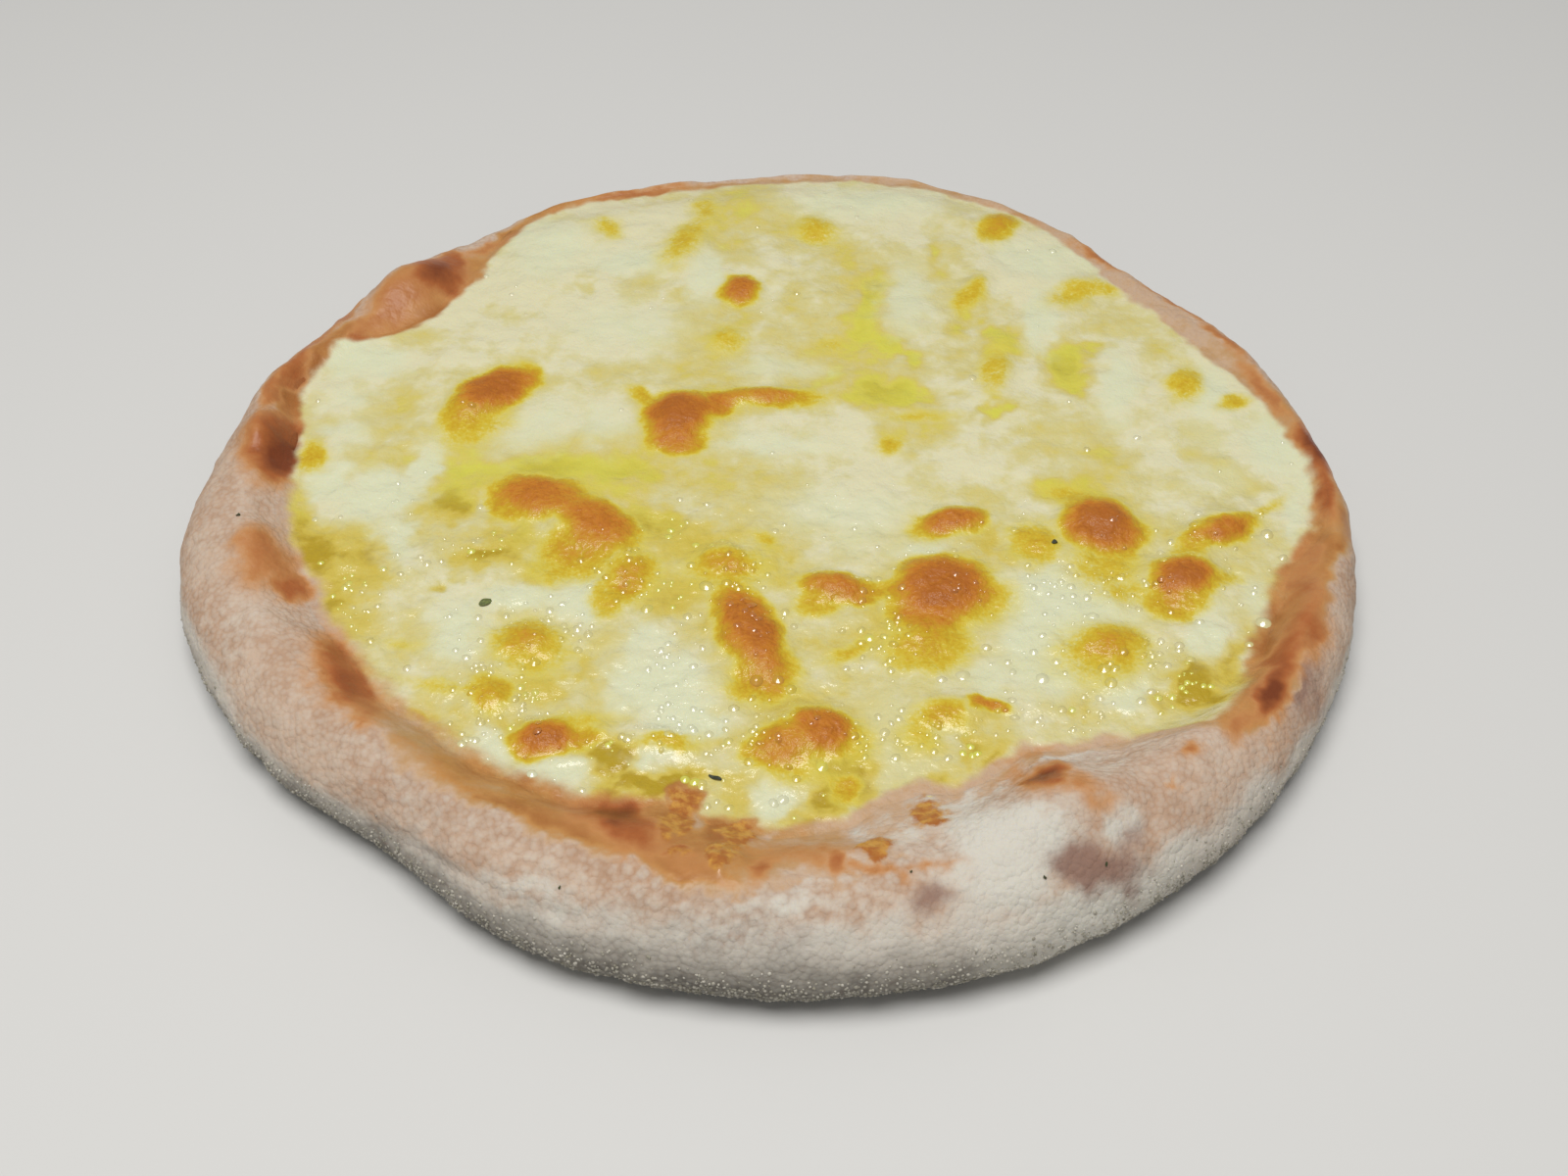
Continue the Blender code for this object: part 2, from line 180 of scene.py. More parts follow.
# ---- Marks of the oven on the cheese -------------------------------------------------------------------
# Browned places, with how far they went: 0.3 pale gold, 0.5 gold, 0.75 brown, 1 dark.
BROWNED = spots(
    (-34, 15.5, 10, 6, 45, 1.), (-37, 11, 6.5, 4.5, 70, 0.4), (-35.5, 8.5, 8, 5, 45, 0.2),
    (-12, 10.5, 7.5, 7, 80, 1.), (-12, 6.5, 6, 4.5, -5, 0.76), (-7.5, 12.5, 6, 3.5, 35, 0.76),
    (-16.5, 14.5, 4, 1.8, -50, 0.3), (-1.5, 14, 9, 2.6, -4, 0.6), (3.5, 14.3, 5, 2.2, 0, 0.22),
    (-27, -4, 9.5, 6, -15, 0.80), (-20, -8.5, 9.5, 6, -42, 0.80), (-22, -12.5, 7, 5.5, -10, 0.4),
    (-23, -15.5, 7, 3.5, 0, 0.22), (-30, -5.5, 4, 3, -70, 0.4),
    (-16, -17, 6.5, 4.5, 65, 0.44), (-18, -20.5, 4, 3, -80, 0.24),
    (-5.5, -15, 5.5, 4, 0, 0.4), (-5.5, -15.5, 9, 6.5, 0, 0.18), (-1.5, -11, 3, 2, -60, 0.2),
    (6.5, -18.5, 7.5, 3.5, -12, 0.7), (11, -18.8, 4, 2, 0, 0.3), (4.5, -20.5, 5, 3, 20, 0.3),
    (17.5, -18.5, 9.5, 8, 10, 1.), (16, -22, 7, 5, 5, 0.68), (22, -20, 6, 5.5, 40, 0.22),
    (16, -26, 7.5, 6.5, 55, 0.36), (14, -28.8, 6, 3.5, 0, 0.18),
    (-3, -24.5, 11.5, 5.5, -70, 0.92), (-1, -30.5, 6.5, 5, -80, 0.56), (-2.5, -33, 6, 3.5, 0, 0.2),
    (7.5, -27.5, 4.5, 1.8, 35, 0.24),
    (19.5, -8, 6.5, 3.6, 15, 0.84), (16.2, -9, 3.5, 3, -50, 0.3), (13, 5.5, 2.8, 2.4, 75, 0.24),
    (28, -11.5, 5.5, 4.5, -85, 0.3),
    (35.5, -8.5, 7, 7, -80, 1.), (37.5, -10, 6, 5, 40, 0.76), (33.5, -3.8, 7, 3.2, -20, 0.22),
    (35.5, -14.5, 7.5, 6, 30, 0.22),
    (49.5, -9.5, 7, 3.2, 25, 0.76), (46.5, -10.5, 6, 3, 40, 0.4), (45, -12.5, 8, 3, 40, 0.18),
    (54.5, -6, 6.5, 1.6, 40, 0.16),
    (43.5, -17, 6.5, 5, 25, 1.0), (42, -20.5, 5.5, 4, 15, 0.4), (37, -19, 5.5, 3.5, 5, 0.18),
    (47.5, -17, 5, 2, 15, 0.2),
    (34.5, -27, 5.5, 4, 25, 0.4), (33.5, -28, 9, 7, 20, 0.22),
    (-26, -26, 5, 4, -10, 0.4), (-25.5, -27, 7.5, 6.5, -30, 0.22),
    (-29, -33.5, 4, 3.5, -55, 0.34), (-34, -32.5, 7, 2, -10, 0.16), (-36.5, -36.5, 3.0, 2.0, -35, 0.8),
    (-39, -26.5, 4.4, 1.6, 0, 0.12),
    (-23, -39.5, 6, 3.5, 10, 0.92), (-19.5, -39.5, 4, 2, 15, 0.4), (-20, -37.2, 6.5, 2.2, 5, 0.18),
    (-10.5, -40, 5, 2, 0, 0.26),
    (4.5, -38.5, 5.8, 5, -45, 0.84), (0.5, -40.5, 6.5, 4.5, 25, 0.62), (7, -40, 5, 4.5, 5, 0.2),
    (2, -43.5, 5.5, 3, 0, 0.18), (6.5, -45.5, 3.2, 2.8, 85, 0.36),
    (16.5, -36.5, 4, 3.2, 10, 0.36), (14, -38.5, 5, 4, 80, 0.16), (21, -35, 3.6, 1.5, -15, 0.68),
    (-5, 36, 5, 4.2, -90, 0.85), (-6.5, 25.5, 5, 4, -85, 0.2), (5, 50, 6.5, 4.5, -60, 0.22),
    (29.5, 51, 6.5, 4, 60, 0.4), (24.5, 35, 7, 2.6, 60, 0.26), (26.5, 19.5, 9, 3.2, 80, 0.2),
    (38, 35.5, 7.5, 3.6, 35, 0.2), (42, 36.5, 6.5, 3, 5, 0.17), (49, 16.5, 6, 3.5, 75, 0.26),
    (54.5, 13, 4, 2, 30, 0.26), (-10, 55, 6.5, 3.5, -85, 0.18), (-12.5, 47, 10.5, 4, 70, 0.22),
    (-23, 50.5, 4.5, 3.2, -75, 0.18), (6.5, 25, 3.5, 2.6, 5, 0.16), (16.5, 10.5, 7.5, 2, 0, 0.16),
    (-54, 3, 4.5, 3, -70, 0.3),
)
# Yellow oil that came out of the cheese and lies in its hollows, with its depth of colour.
OIL = spots(
    (-30, -11.3, 7, 7, 0, 0.85), (-4.4, 59.2, 10, 10, 0, 0.55), (2.9, 26, 10, 17, 0, 0.45),
    (-45.5, 6.4, 10, 12, 0, 0.5), (8.8, 20.7, 12, 13, 0, 0.6), (-6.5, 50.8, 10, 15, 0, 0.55),
    (4, 18.8, 12, 12, 0, 0.45), (-2, -2.4, 12, 12, 0, 0.42), (-8.3, 17.8, 12, 12, 0, 0.55),
    (37.1, 0.1, 11, 14, 0, 0.55), (47.3, 24.8, 7, 12, 0, 0.45), (16.1, 7.8, 9, 8, 0, 0.55),
    (-3.9, -46, 6, 7, 0, 0.6), (-8.2, 0.7, 13, 11, 0, 0.52), (-26.6, 5.5, 10, 8, 0, 0.55),
    (32.1, 7, 13, 14, 0, 0.4), (-18.4, 4.1, 12, 10, 0, 0.62), (18.9, 38, 12, 13, 0, 0.4),
    (-47.2, -22.2, 4, 7, 0, 0.75), (3.8, 36.2, 9, 14, 0, 0.38), (22, 22, 7, 9, 0, 0.4),
    (-54.9, 9.5, 8, 12, 0, 0.42), (-30.1, -37.2, 8, 7, 0, 0.55), (-37, 0.9, 10, 12, 0, 0.65),
    (22.6, -11, 5, 6, 0, 0.68), (-19.9, 17.7, 10, 9, 0, 0.38), (-8.4, 28.9, 12, 18, 0, 0.48),
    (5.9, -32.8, 4, 4, 0, 0.55), (2.5, -47, 7, 7, 0, 0.55), (5.3, -46.4, 5, 4, 0, 1.35),
    (-21.3, -2, 14, 7, 0, 0.7), (-47.6, 0.6, 6, 7, 0, 0.5), (14.1, 32.6, 12, 15, 0, 0.5),
    (0.4, 51.9, 7, 11, 0, 0.5), (45.9, -30, 4, 8, 0, 0.8), (-53.8, -8.5, 5, 9, 0, 0.85),
    (-47.9, -19.4, 4, 7, 0, 0.85), (10.7, 41.2, 10, 14, 0, 0.5), (-1, -8, 8, 12, 0, 0.55),
    (-32, -13.5, 7, 5, 0, 0.85), (-41, -5, 5, 6, 0, 0.6), (-36.5, -5, 6.5, 5.5, -65, 1.1),
    (-34, 0, 6, 5, -35, 0.7), (-26.5, 1.5, 12, 5.5, 0, 1.0), (-39, -9, 8, 6.5, -70, 0.5),
    (-50, -13, 9, 6, -55, 1.15), (-44.5, -13.5, 10.5, 6.5, -75, 0.85), (-54, -5, 10, 3, -80, 0.5),
    (-31.5, -13.5, 6, 3.5, -5, 0.75), (-24, -16.5, 9, 5.5, -5, 0.75), (-43, 2.5, 7.5, 4.5, 20, 0.65),
    (-46, 14, 9, 7, -65, 0.45), (-44.5, 25.5, 11, 5.5, 10, 0.35), (-44, -24, 9.5, 7, -15, 0.55),
    (-36, -18.5, 2.2, 1.6, -70, 1.0), (-34.5, -16.5, 2.5, 1.8, -80, 0.55), (-15, -7.5, 10, 5.5, -15, 0.85),
    (-10, -10.5, 14, 8, 0, 0.75), (-17, 1, 9.5, 4.5, 0, 0.85), (-11, -19, 10, 7.5, 35, 0.7),
    (0.5, -15.5, 9.5, 9, 0, 0.55), (-19.5, -30.5, 4, 3, -80, 0.85), (-24.5, -33, 7, 6, -15, 0.7),
    (-26.5, -37.5, 6, 4, -5, 0.55), (-16.5, -42, 5.5, 4.5, -5, 1.3), (-12, -45, 10.5, 3.5, 10, 1.3),
    (-34, -38, 6, 4, -10, 0.45), (-2.5, -46, 3.5, 2, -90, 0.8), (3, -49.5, 2.5, 1.6, 0, 0.85),
    (0.5, -49, 12, 2.6, 0, 0.5), (7, -43, 7.5, 5.5, 85, 1.2), (13, -40.5, 7.5, 6.5, 75, 0.55),
    (18.5, -40.5, 4, 2.5, 70, 0.9), (21, -42, 2, 1.6, 70, 0.8), (15.5, -44.5, 2.8, 1.5, 0, 0.8),
    (20, -39, 9, 7.5, 75, 0.5), (30.5, -35.5, 3.5, 1.6, 15, 0.9), (30.5, -33.5, 10.5, 4, 20, 0.45),
    (42, -33, 6.5, 5, 55, 1.5), (46.5, -28, 3.5, 3, 45, 0.75), (50, -21.5, 10.5, 3.5, 80, 0.45),
    (27, -29, 7, 6, 20, 0.42), (10, -26, 9, 8.5, 10, 0.42), (33.5, -3, 9.5, 4.5, -15, 0.85),
    (50, 2, 9.5, 5, -50, 0.6), (49.5, 7.5, 7, 5.5, 15, 0.5), (52.5, -2.5, 8.5, 4, 40, 0.5),
    (23, -14.5, 6.5, 5, 10, 0.5), (36, -14, 10, 8, 20, 0.5), (12.5, 35.5, 11.5, 3.2, 85, 1.0),
    (10.5, 27.5, 9, 5.5, 85, 0.9), (14.5, 24, 7.5, 4, -45, 1.05), (12, 15, 8, 6, 5, 1.05),
    (16, 14.5, 7.5, 5, -20, 0.9), (20.5, 43, 11.5, 3, 85, 0.6), (23.5, 31, 9, 4.5, 75, 0.75),
    (28, 25, 7.5, 5.5, -85, 0.9), (26, 11.5, 5.5, 2.5, 40, 0.9), (35, 21.5, 8, 5, 70, 1.05),
    (36, 17, 5.5, 5, 30, 0.85), (39, 24, 3.5, 2.5, 5, 0.75), (42, 30.5, 11.5, 9, 20, 0.4),
    (-4, 54.5, 7.5, 6, 0, 0.55), (7, 46, 10.5, 6, -45, 0.42), (-13, 35, 4, 3, -85, 0.45),
    (-25.5, 38, 4.5, 3.5, -80, 0.42), (3, -37, 16, 12, 0, 0.55),
)
# White, dry curd, with its whiteness.
CURD = spots(
    (15.6, -12.3, 6, 5, 0, 0.6), (27.9, -30.6, 8, 8, 0, 0.7), (50.9, -19.9, 4, 9, 0, 0.55),
    (24.4, -19.5, 4, 6, 0, 0.6), (33.8, -30.5, 8, 8, 0, 0.4), (11.5, -42.6, 6, 8, 0, 0.4),
    (50.5, -0.8, 8, 7, 0, 0.4), (-20.8, -17.6, 4, 5, 0, 0.5), (30.1, -24.6, 12, 12, 0, 0.6),
    (11, -36.2, 7, 8, 0, 0.35), (-53.5, 23.4, 9, 8, 0, 0.5), (58, 7.6, 8, 11, 0, 0.5),
    (59.2, 0.4, 6, 11, 0, 0.5), (38.2, 44, 11, 14, 0, 0.45), (51.4, 7.1, 12, 11, 0, 0.35),
    (44.9, -21.2, 8, 10, 0, 0.4), (8.3, -10.7, 8, 7, 0, 0.4), (-51, 21.5, 10, 7, -10, 0.85),
    (-52, 14, 7, 5.5, -15, 0.6), (-51, 7.5, 7, 5, -15, 0.6), (-51, -1.5, 8.5, 4.5, -75, 0.8),
    (-45, -3, 8.5, 7.5, 60, 0.95), (-40.5, 2, 9.5, 3.5, 85, 0.8), (-42, -10.5, 8, 4.5, -75, 0.7),
    (-28, 9, 11, 8, 45, 0.6), (-20.5, 9, 8, 7, -75, 0.55), (-21, -20, 6.5, 5.5, -70, 0.95),
    (-27.5, -19.5, 8, 4, 0, 0.8), (-33.5, -24.5, 9.5, 6, -75, 0.8), (-12, -32.5, 11, 8, -35, 1.0),
    (-9, -37.5, 8, 4.5, 0, 0.95), (-13.5, -26, 5.5, 5, -75, 0.7), (30.5, -21, 12, 10.5, 20, 1.0),
    (26, -26, 7, 6, 70, 0.75), (45, -24.5, 8, 3.5, 75, 0.75), (35, -33.5, 6.5, 3.5, 20, 0.7),
    (21.5, -31.5, 7, 6, 10, 0.6), (-22, -43.5, 8, 3.2, 5, 0.9), (-28, -40.5, 6.5, 3.5, -50, 0.75),
    (-11.5, -41.5, 5.5, 2.4, 0, 0.7), (0, -47, 5, 4.5, 0, 0.8), (7, -6, 18.5, 8, 0, 0.55),
    (-30.5, 46, 14, 10.5, -85, 0.7), (-19.5, 43, 11, 7, -5, 0.75), (-9.5, 39, 11, 4.5, 90, 0.75),
    (-19, 28.5, 15, 10.5, -5, 0.5), (11.5, 57, 20, 8, 0, 0.7), (16.5, 34, 15, 7, 85, 0.65),
    (33.5, 43, 11.5, 9, -25, 0.7), (33, 30, 12.5, 4, 80, 0.85), (41, 17, 13.5, 4.5, 80, 0.75),
    (51.5, 15, 10.5, 5, 80, 0.75), (57, 4.5, 8.5, 5, 80, 0.85), (58, -6, 9, 3, 75, 0.75),
    (0.5, 20, 13, 4.5, 0, 0.5), (-0.5, 5.5, 16, 4.5, 0, 0.6),
)
# The largest beads of fat, which catch the light: x, y and half width in millimetres.
LARGE_BEADS = (
    (-11, -4, .4), (-8, -5, .4), (-15.5, -12.5, .4), (-19.4, -15.7, .4), (-18.6, -16.6, .4),
    (-9.5, -14.8, .4), (-12, -10, .4), (-9, -11.3, .4), (-13.8, -21.2, .6), (-17, -20.4, .4),
    (-21, -24.3, .6), (-20.6, -27.3, .4), (-7.6, -18, .6), (-5.6, -17.6, .4), (-4.2, -18.4, .4),
    (.7, -21.9, .6), (1.7, -23.9, .4), (6.8, -24.5, .4), (9.5, -25.6, .4), (11.4, -23.2, .4),
    (12, -26.9, .4), (-24.9, -29.3, .6), (-26, -32.7, .4), (-38, -30, .4), (-2.2, -31.8, .6),
    (0, -31.6, .6), (1.5, -32.8, .6), (-2.7, -34.2, .4), (-4.4, -35.7, .4), (16.7, -31.6, .4),
    (19, -30.7, .6), (27, -31.4, .6), (24, -30.3, .4), (21.6, -26.9, .4), (26.4, -27.7, .4),
    (33.2, -22.6, .6), (31.3, -18.2, .4), (33.3, -30.2, .6), (34.6, -30.2, .4), (33.7, -32.2, .6),
    (32.5, -33.9, .4), (36.5, -34.7, .4), (41.6, -26.9, .4), (44.2, -23.3, .4), (47.3, -27.3, .6),
    (48.8, -26.6, .4), (50.9, -23.5, .6), (54, -10, .6), (54.9, -13.7, .4), (39.7, -26.2, .4),
    (42.5, -28.7, .4), (-17.9, -45.2, .6), (-21, -43.9, .4), (-23.8, -43.8, .4), (-18.8, -45.8, .4),
    (-8.8, -44.3, .4), (-8, -44.7, .4), (-7.2, -45.2, .4), (-4.5, -47.7, .4), (-6.6, -47.7, .4),
    (-.3, -47.4, .4), (.5, -46.9, .4), (1.1, -43.2, .4), (1.9, -44.4, .4), (4.4, -42.8, .6),
    (9.2, -19, .4), (10, -36.6, .4), (12, -37, .4), (10.6, -38.6, .4), (11.5, -41.7, .4), (14.5, -46.9, .4),
)

# ---- Marks of the oven on the rim ----------------------------------------------------------------------
# The toasted, oily band beside the cheese: bearing, width in millimetres, how far it went towards brown.
TOAST_BAND = (
    (-180, 0.8, 0.20), (-176, 0.5, 0.12), (-150, 0.5, 0.15), (-147, 1.5, 0.28), (-143, 3.9, 0.38),
    (-138, 4.7, 0.38), (-133, 5.4, 0.38), (-128, 5.6, 0.42), (-124, 5.6, 0.52), (-120, 6.0, 0.60),
    (-117, 5.4, 0.66), (-113, 6.2, 0.66), (-110, 7.0, 0.70), (-107, 8.4, 0.74), (-104, 9.6, 0.72),
    (-100, 9.4, 0.72), (-96, 10.4, 0.66), (-93, 9.8, 0.50), (-89, 8.4, 0.38), (-85, 8.6, 0.30),
    (-82, 8.8, 0.24), (-78, 9.0, 0.20), (-74, 8.0, 0.17), (-70, 4.0, 0.20), (-65, 2.6, 0.24),
    (-60, 2.6, 0.30), (-52, 2.0, 0.22), (-46, 2.0, 0.30), (-41, 2.8, 0.54), (-37, 3.8, 0.66),
    (-33, 4.2, 0.66), (-28, 4.6, 0.68), (-22, 5.2, 0.70), (-16, 5.0, 0.70), (-10, 4.6, 0.66),
    (-4, 3.0, 0.62), (4, 2.4, 0.56), (12, 2.6, 0.42), (20, 3.2, 0.30), (32, 3.6, 0.18), (45, 2.6, 0.16),
    (60, 1.6, 0.28), (90, 1.2, 0.34), (110, 1.4, 0.50), (124, 2.0, 0.56), (131, 3.0, 0.42),
    (137, 6.0, 0.74), (144, 8.0, 0.92), (150, 5.5, 0.72), (156, 2.2, 0.66), (162, 3.0, 0.90),
    (170, 2.6, 0.92), (176, 1.2, 0.40),
)
# Top of the floury band round the foot: bearing, share of the rim's height.
FLOUR_TOPS = (
    (-180, .52), (-166, .62), (-153, .72), (-144, .60), (-132, .60), (-123, .68), (-115, .68), (-109, .72),
    (-102, .80), (-96, .90), (-89, .93), (-82, .88), (-74, .82), (-65, .80), (-56, .76), (-42, .68),
    (-32, .66), (-15, .50), (0, .48), (60, .45), (120, .45), (160, .50),
)
# Height in millimetres from which painted shade darkens the flour towards the foot, with its bearing.
FOOT_SHADE_TOPS = (
    (-180, 5), (-140, 7), (-123, 9), (-112, 9.5), (-100, 11), (-90, 11.5), (-80, 10), (-70, 8), (-60, 6.2),
    (-42, 4.8), (-25, 4.5), (150, 4.5),
)
# Scorched brown places, with their darkness.
SCORCHED = spots(
    (-57, 2, 8, 4.6, 85, 1.06), (-56.5, 7.5, 6, 3.2, 75, 0.68), (-58, 3.5, 10.5, 6.5, 90, 0.66),
    (-51.5, -19, 4.5, 3, 80, 0.62), (-54.5, -16.5, 9, 6.5, -80, 0.44), (-56, -14, 6, 4, -85, 0.36),
    (-45, -29, 8, 3.5, -65, 0.60), (-43.5, -32.5, 10, 6, -62, 0.5), (-42.6, -34, 7.5, 4, -70, 0.72),
    (-40, -38, 5, 2.8, -75, 0.48), (-44, 38.5, 8, 6, -70, 0.94), (-42.5, 42.5, 7, 3.2, -60, 0.62),
    (-48, 32.5, 12, 6, 55, 0.5), (-51, 29, 5.5, 3, 40, 0.36), (-55.5, 29, 10, 2.4, 70, 0.52),
    (-58.5, 22.5, 11, 2, 76, 0.54), (-58.6, 18.3, 7, 2.6, 78, 0.55), (-59.8, 14, 9, 2, 82, 0.5),
    (-52.5, 24, 7, 3, 66, 0.6), (-38.5, 47, 9, 2, 45, 0.4), (-31.5, 54, 9, 2, 40, 0.4),
    (-15, -49.8, 7, 4, -85, 0.94), (-13.5, -52, 8.5, 4.5, -60, 0.66), (-17.5, -49.5, 8, 5, -60, 0.52),
    (-9, -55.4, 2.6, 1.6, 10, 0.75), (2, -55, 9.5, 3.4, -10, 0.36), (-1.5, -56.8, 4, 1.8, 75, 0.54),
    (5.4, -57, 3.6, 1.8, -70, 0.54), (9, -58, 5.5, 1.6, -5, 0.38), (13.5, -57.5, 5, 1.5, -5, 0.3),
    (-7.5, -57, 6, 3, -10, 0.32), (25, -41, 6, 1.6, 25, 0.24), (28, -49.5, 4, 3.2, 70, 0.36),
    (22.6, -44.8, 5, 2.2, 75, 0.34), (25.2, -47.2, 4.6, 3.4, 75, 1.05), (29.4, -51.5, 4.4, 2.2, 20, 0.32),
    (39.5, -44, 2.8, 1.7, 20, 0.5), (37, -48, 1.5, 1.0, 25, 0.32), (55.5, -19.5, 8, 4, 85, 0.52),
    (57.5, -14, 8, 3, 80, 0.42), (50.5, -32, 13, 2.8, 68, 0.74), (48.6, -35.8, 6, 3, 70, 1.),
    (45, -40, 5.5, 2.4, 50, 0.44), (54.5, -26.5, 8, 4, 72, 0.58), (61.2, -4, 10, 2.2, 86, 0.7),
    (62.2, 4, 9, 3.0, 92, 1.05), (58.5, 15, 11, 2, 108, 0.5), (55.5, 25.5, 9, 2.2, 116, 0.5),
    (50.8, 33.9, 10, 1.9, 130, 0.5), (42.7, 43.8, 9, 2.2, 138, 0.5), (31.5, 54.5, 8.5, 1.8, 148, 0.34),
    (-20.5, 60.2, 15, 2, 15, 0.52), (-7.5, 62, 11, 1.6, 5, 0.3), (11.5, 63, 5, 2, 0, 0.32),
)
# White flour left on the rim.
FLOURED = spots(
    (29, -59.5, 12, 3.4, 27, 0.8), (36, -55, 8, 3, 35, 0.6), (20.5, -59.8, 7, 4, 10, 0.8),
    (17.5, -48, 5, 3, 25, 0.7), (31.3, -53, 4.5, 3.2, 40, 0.7), (6.4, -56.4, 4, 2.2, 0, 0.55),
    (-0.7, -50.6, 3.6, 1.8, 0, 0.5), (1, -61, 13, 2, 0, 0.5), (27, -51, 4, 4, 0, 0.45),
    (-7.3, -50.2, 3.2, 2.4, 90, 0.62), (8.3, -52.2, 3.4, 3.0, 90, 0.50), (11.5, -53.5, 4.0, 3.0, 60, 0.55),
    (-1.5, -52.3, 4.0, 2.0, 0, 0.35), (1.7, -57.6, 3.2, 1.8, 0, 0.45), (5.5, -54.0, 4.0, 2.4, 30, 0.30),
    (22, -55.5, 10, 7, 10, 1.00), (18.5, -53, 8, 7, -30, 0.75), (17, -59, 8, 4, 5, 0.6),
    (24, -59.5, 7, 2.6, 15, 0.4), (31, -46, 9, 5, 35, 0.36), (37.5, -39.5, 6, 4, 40, 0.40),
    (-50.5, -16, 3.5, 2.5, -45, 0.6), (-23.5, -58, 11.5, 2, -25, 0.45), (-13.5, -62, 11, 2, -15, 0.4),
    (-56, -25.5, 13, 7.5, -85, 0.30), (-34.5, -48.5, 13, 3, -40, 0.30), (53, 30, 14, 3, -60, 0.40),
    (23.5, -61.5, 14, 3, 20, 0.5), (8, -63.5, 14, 2.4, 5, 0.4), (-20.5, -59.5, 12, 3, -20, 0.5),
    (12, -55, 9, 4, 0, 0.35),
)
# Purple-brown places where the dough lay against something hot.
BRUISED = spots(
    (52.5, -33.5, 8, 4.5, 60, 0.7), (-33.2, -50.8, 16, 7, -38, 0.2),
    (27.5, -56.8, 5.5, 3.2, 15, 0.85), (30.5, -56.8, 6.5, 2.4, 20, 0.75), (32.5, -54, 4.5, 2.4, 40, 0.5),
    (26, -57, 3.2, 2.2, 15, 0.6), (14, -60.5, 4.6, 2.4, 5, 0.68), (14, -61.8, 2.6, 1.2, 5, 0.42),
    (37.5, -51, 6.5, 2.5, 35, 0.16), (-1.5, -58.5, 4.5, 1.2, 0, 0.42), (-1, -63.6, 12, 2, 0, 0.25),
)

# ---- Relief of the dough and the cheese ----------------------------------------------------------------
EDGE_UNDER_LEVEL = 0.4 * MM     # how far the foot of the rim's inner wall lies under the cheese's level
EDGE_UNDER_CREST = 0.5 * MM     # and under the rim's crest
MOUND_FULLNESS = 1.15           # above 1, the top of a bubble or blister is flatter
MARK_WANDER_SIZES = (2.6 * MM, 0.9 * MM)  # of the noise that makes the marks' outlines wander
HALVING = 0.69                  # exponent at which a mark has half its strength
# The crease: a fold that starts low at the front left and runs out towards the front.
CREASE_BEARINGS = (-128.0, -97.0)
CREASE_FADES = (6, 12)          # degrees over which it begins and ends
CREASE_HEIGHT = 6.4             # millimetres above the floor where it starts
CREASE_CLIMB = 2.8              # millimetres that it climbs
CREASE_WIDTH = 0.55 * MM
LIP_RISE = 0.12 * MM            # swelling of the wall under the crease
DIMPLE_DEPTH = 0.25 * MM        # dimples of the underside
FLOUR_FADE = 0.42               # share of the rim's height over which the flour thins out
SHELF_RISE = 1.6 * MM           # how far the cheese rises from its edge before it runs level
SHELF_RUN = 18 * MM             # from its edge to its full level
EDGE_ROUNDING = 8 * MM          # width over which its edge is rounded
BLISTER_GROWTH = 1.25           # how much larger the blisters are than in their table
BLISTER_RISE = 0.72             # and how much lower
OIL_SINK = 0.15 * MM
CURD_RISE = 0.12 * MM
SHEET_RISE = 0.16 * MM          # the thin sheet over the dough, from a little under to a little over it
SHEET_START = -0.08 * MM
BASE_INSET = 6 * MM             # the cheese's flat base ends so far inside its edge

# ---- Small things --------------------------------------------------------------------------------------
GRAIN_SIZES = (0.09, 0.21)      # half widths in millimetres
GRAIN_STRETCH = (0.7, 1.2)
BEAD_SPREAD = (4.0, 0.075)      # shape and scale of the draw of half widths in millimetres
BEAD_LIMITS = (0.15, 0.5)       # of the half widths, in millimetres
BEAD_STRETCH = (0.85, 1.15)
LARGE_BEAD_GROWTH = (1.1, 1.5)
BEAD_HEIGHT = 0.40              # in a bead's own half widths, as are the next four
BEAD_SINK = 0.02                # into the cheese
BEAD_SKIRT = 0.12
BEAD_BOWL = 0.1
BEAD_RINGS = (0.0, 0.36, 0.66, 0.95, 1.0)
FLECK_THICKNESS = 0.07 * MM
FLECK_LIFT = 0.12 * MM
FLECK_CURL = (0.10 * MM, 0.06 * MM)  # lengthwise, crosswise

# ---- Stage ---------------------------------------------------------------------------------------------
TARGET = Vector((0.65, -10.3, 0)) * MM  # where the camera and the key light aim
FLOOR_SIZE = 2.5
FLOOR_SHADE = (0.6, 0.6, 0.6)
SKY_TINT = (1.0, 0.99, 0.97, 1)
KEY_PLACE = (-0.04, -0.10, 0.56)
KEY_SIZE = 0.36
KEY_TINT = (1.0, 0.985, 0.96)
SENSOR_WIDTH = 36.0             # millimetres
NEAR_CLIP = 0.01

# ---- Gloss and softness of the materials ---------------------------------------------------------------
CRUST_ROUGHNESS = (0.90, 0.40)     # dry, oily
CHEESE_ROUGHNESS = (0.36, 0.55)    # melted, browned
SOFT_AND_OILY = {
    "Subsurface_Weight": 0.12,
    "Subsurface_Radius": (1.0, 0.7, 0.35),
    "Subsurface_Scale": 1.2 * MM,
    "Coat_IOR": 1.5,
    "Specular_IOR_Level": 0.35,
}

# ---- Fineness ------------------------------------------------------------------------------------------
DOUGH_SIDES = 1040
FRONT_GATHER = 0.34       # how much closer the dough's sides stand at the front than at the mean
DOUGH_ROWS = {"foot": 9, "lower": 15, "upper": 32, "inner": 30, "bank": 3, "floor": 3}
CHEESE_RINGS = 177
SEED = 11                 # of the random draws


# ---- Shape rules ---------------------------------------------------------------------------------------
def smooth(share):
    """A share from 0 to 1, eased at both ends."""
    share = np.clip(share, 0.0, 1.0)
    return share * share * (3 - 2 * share)


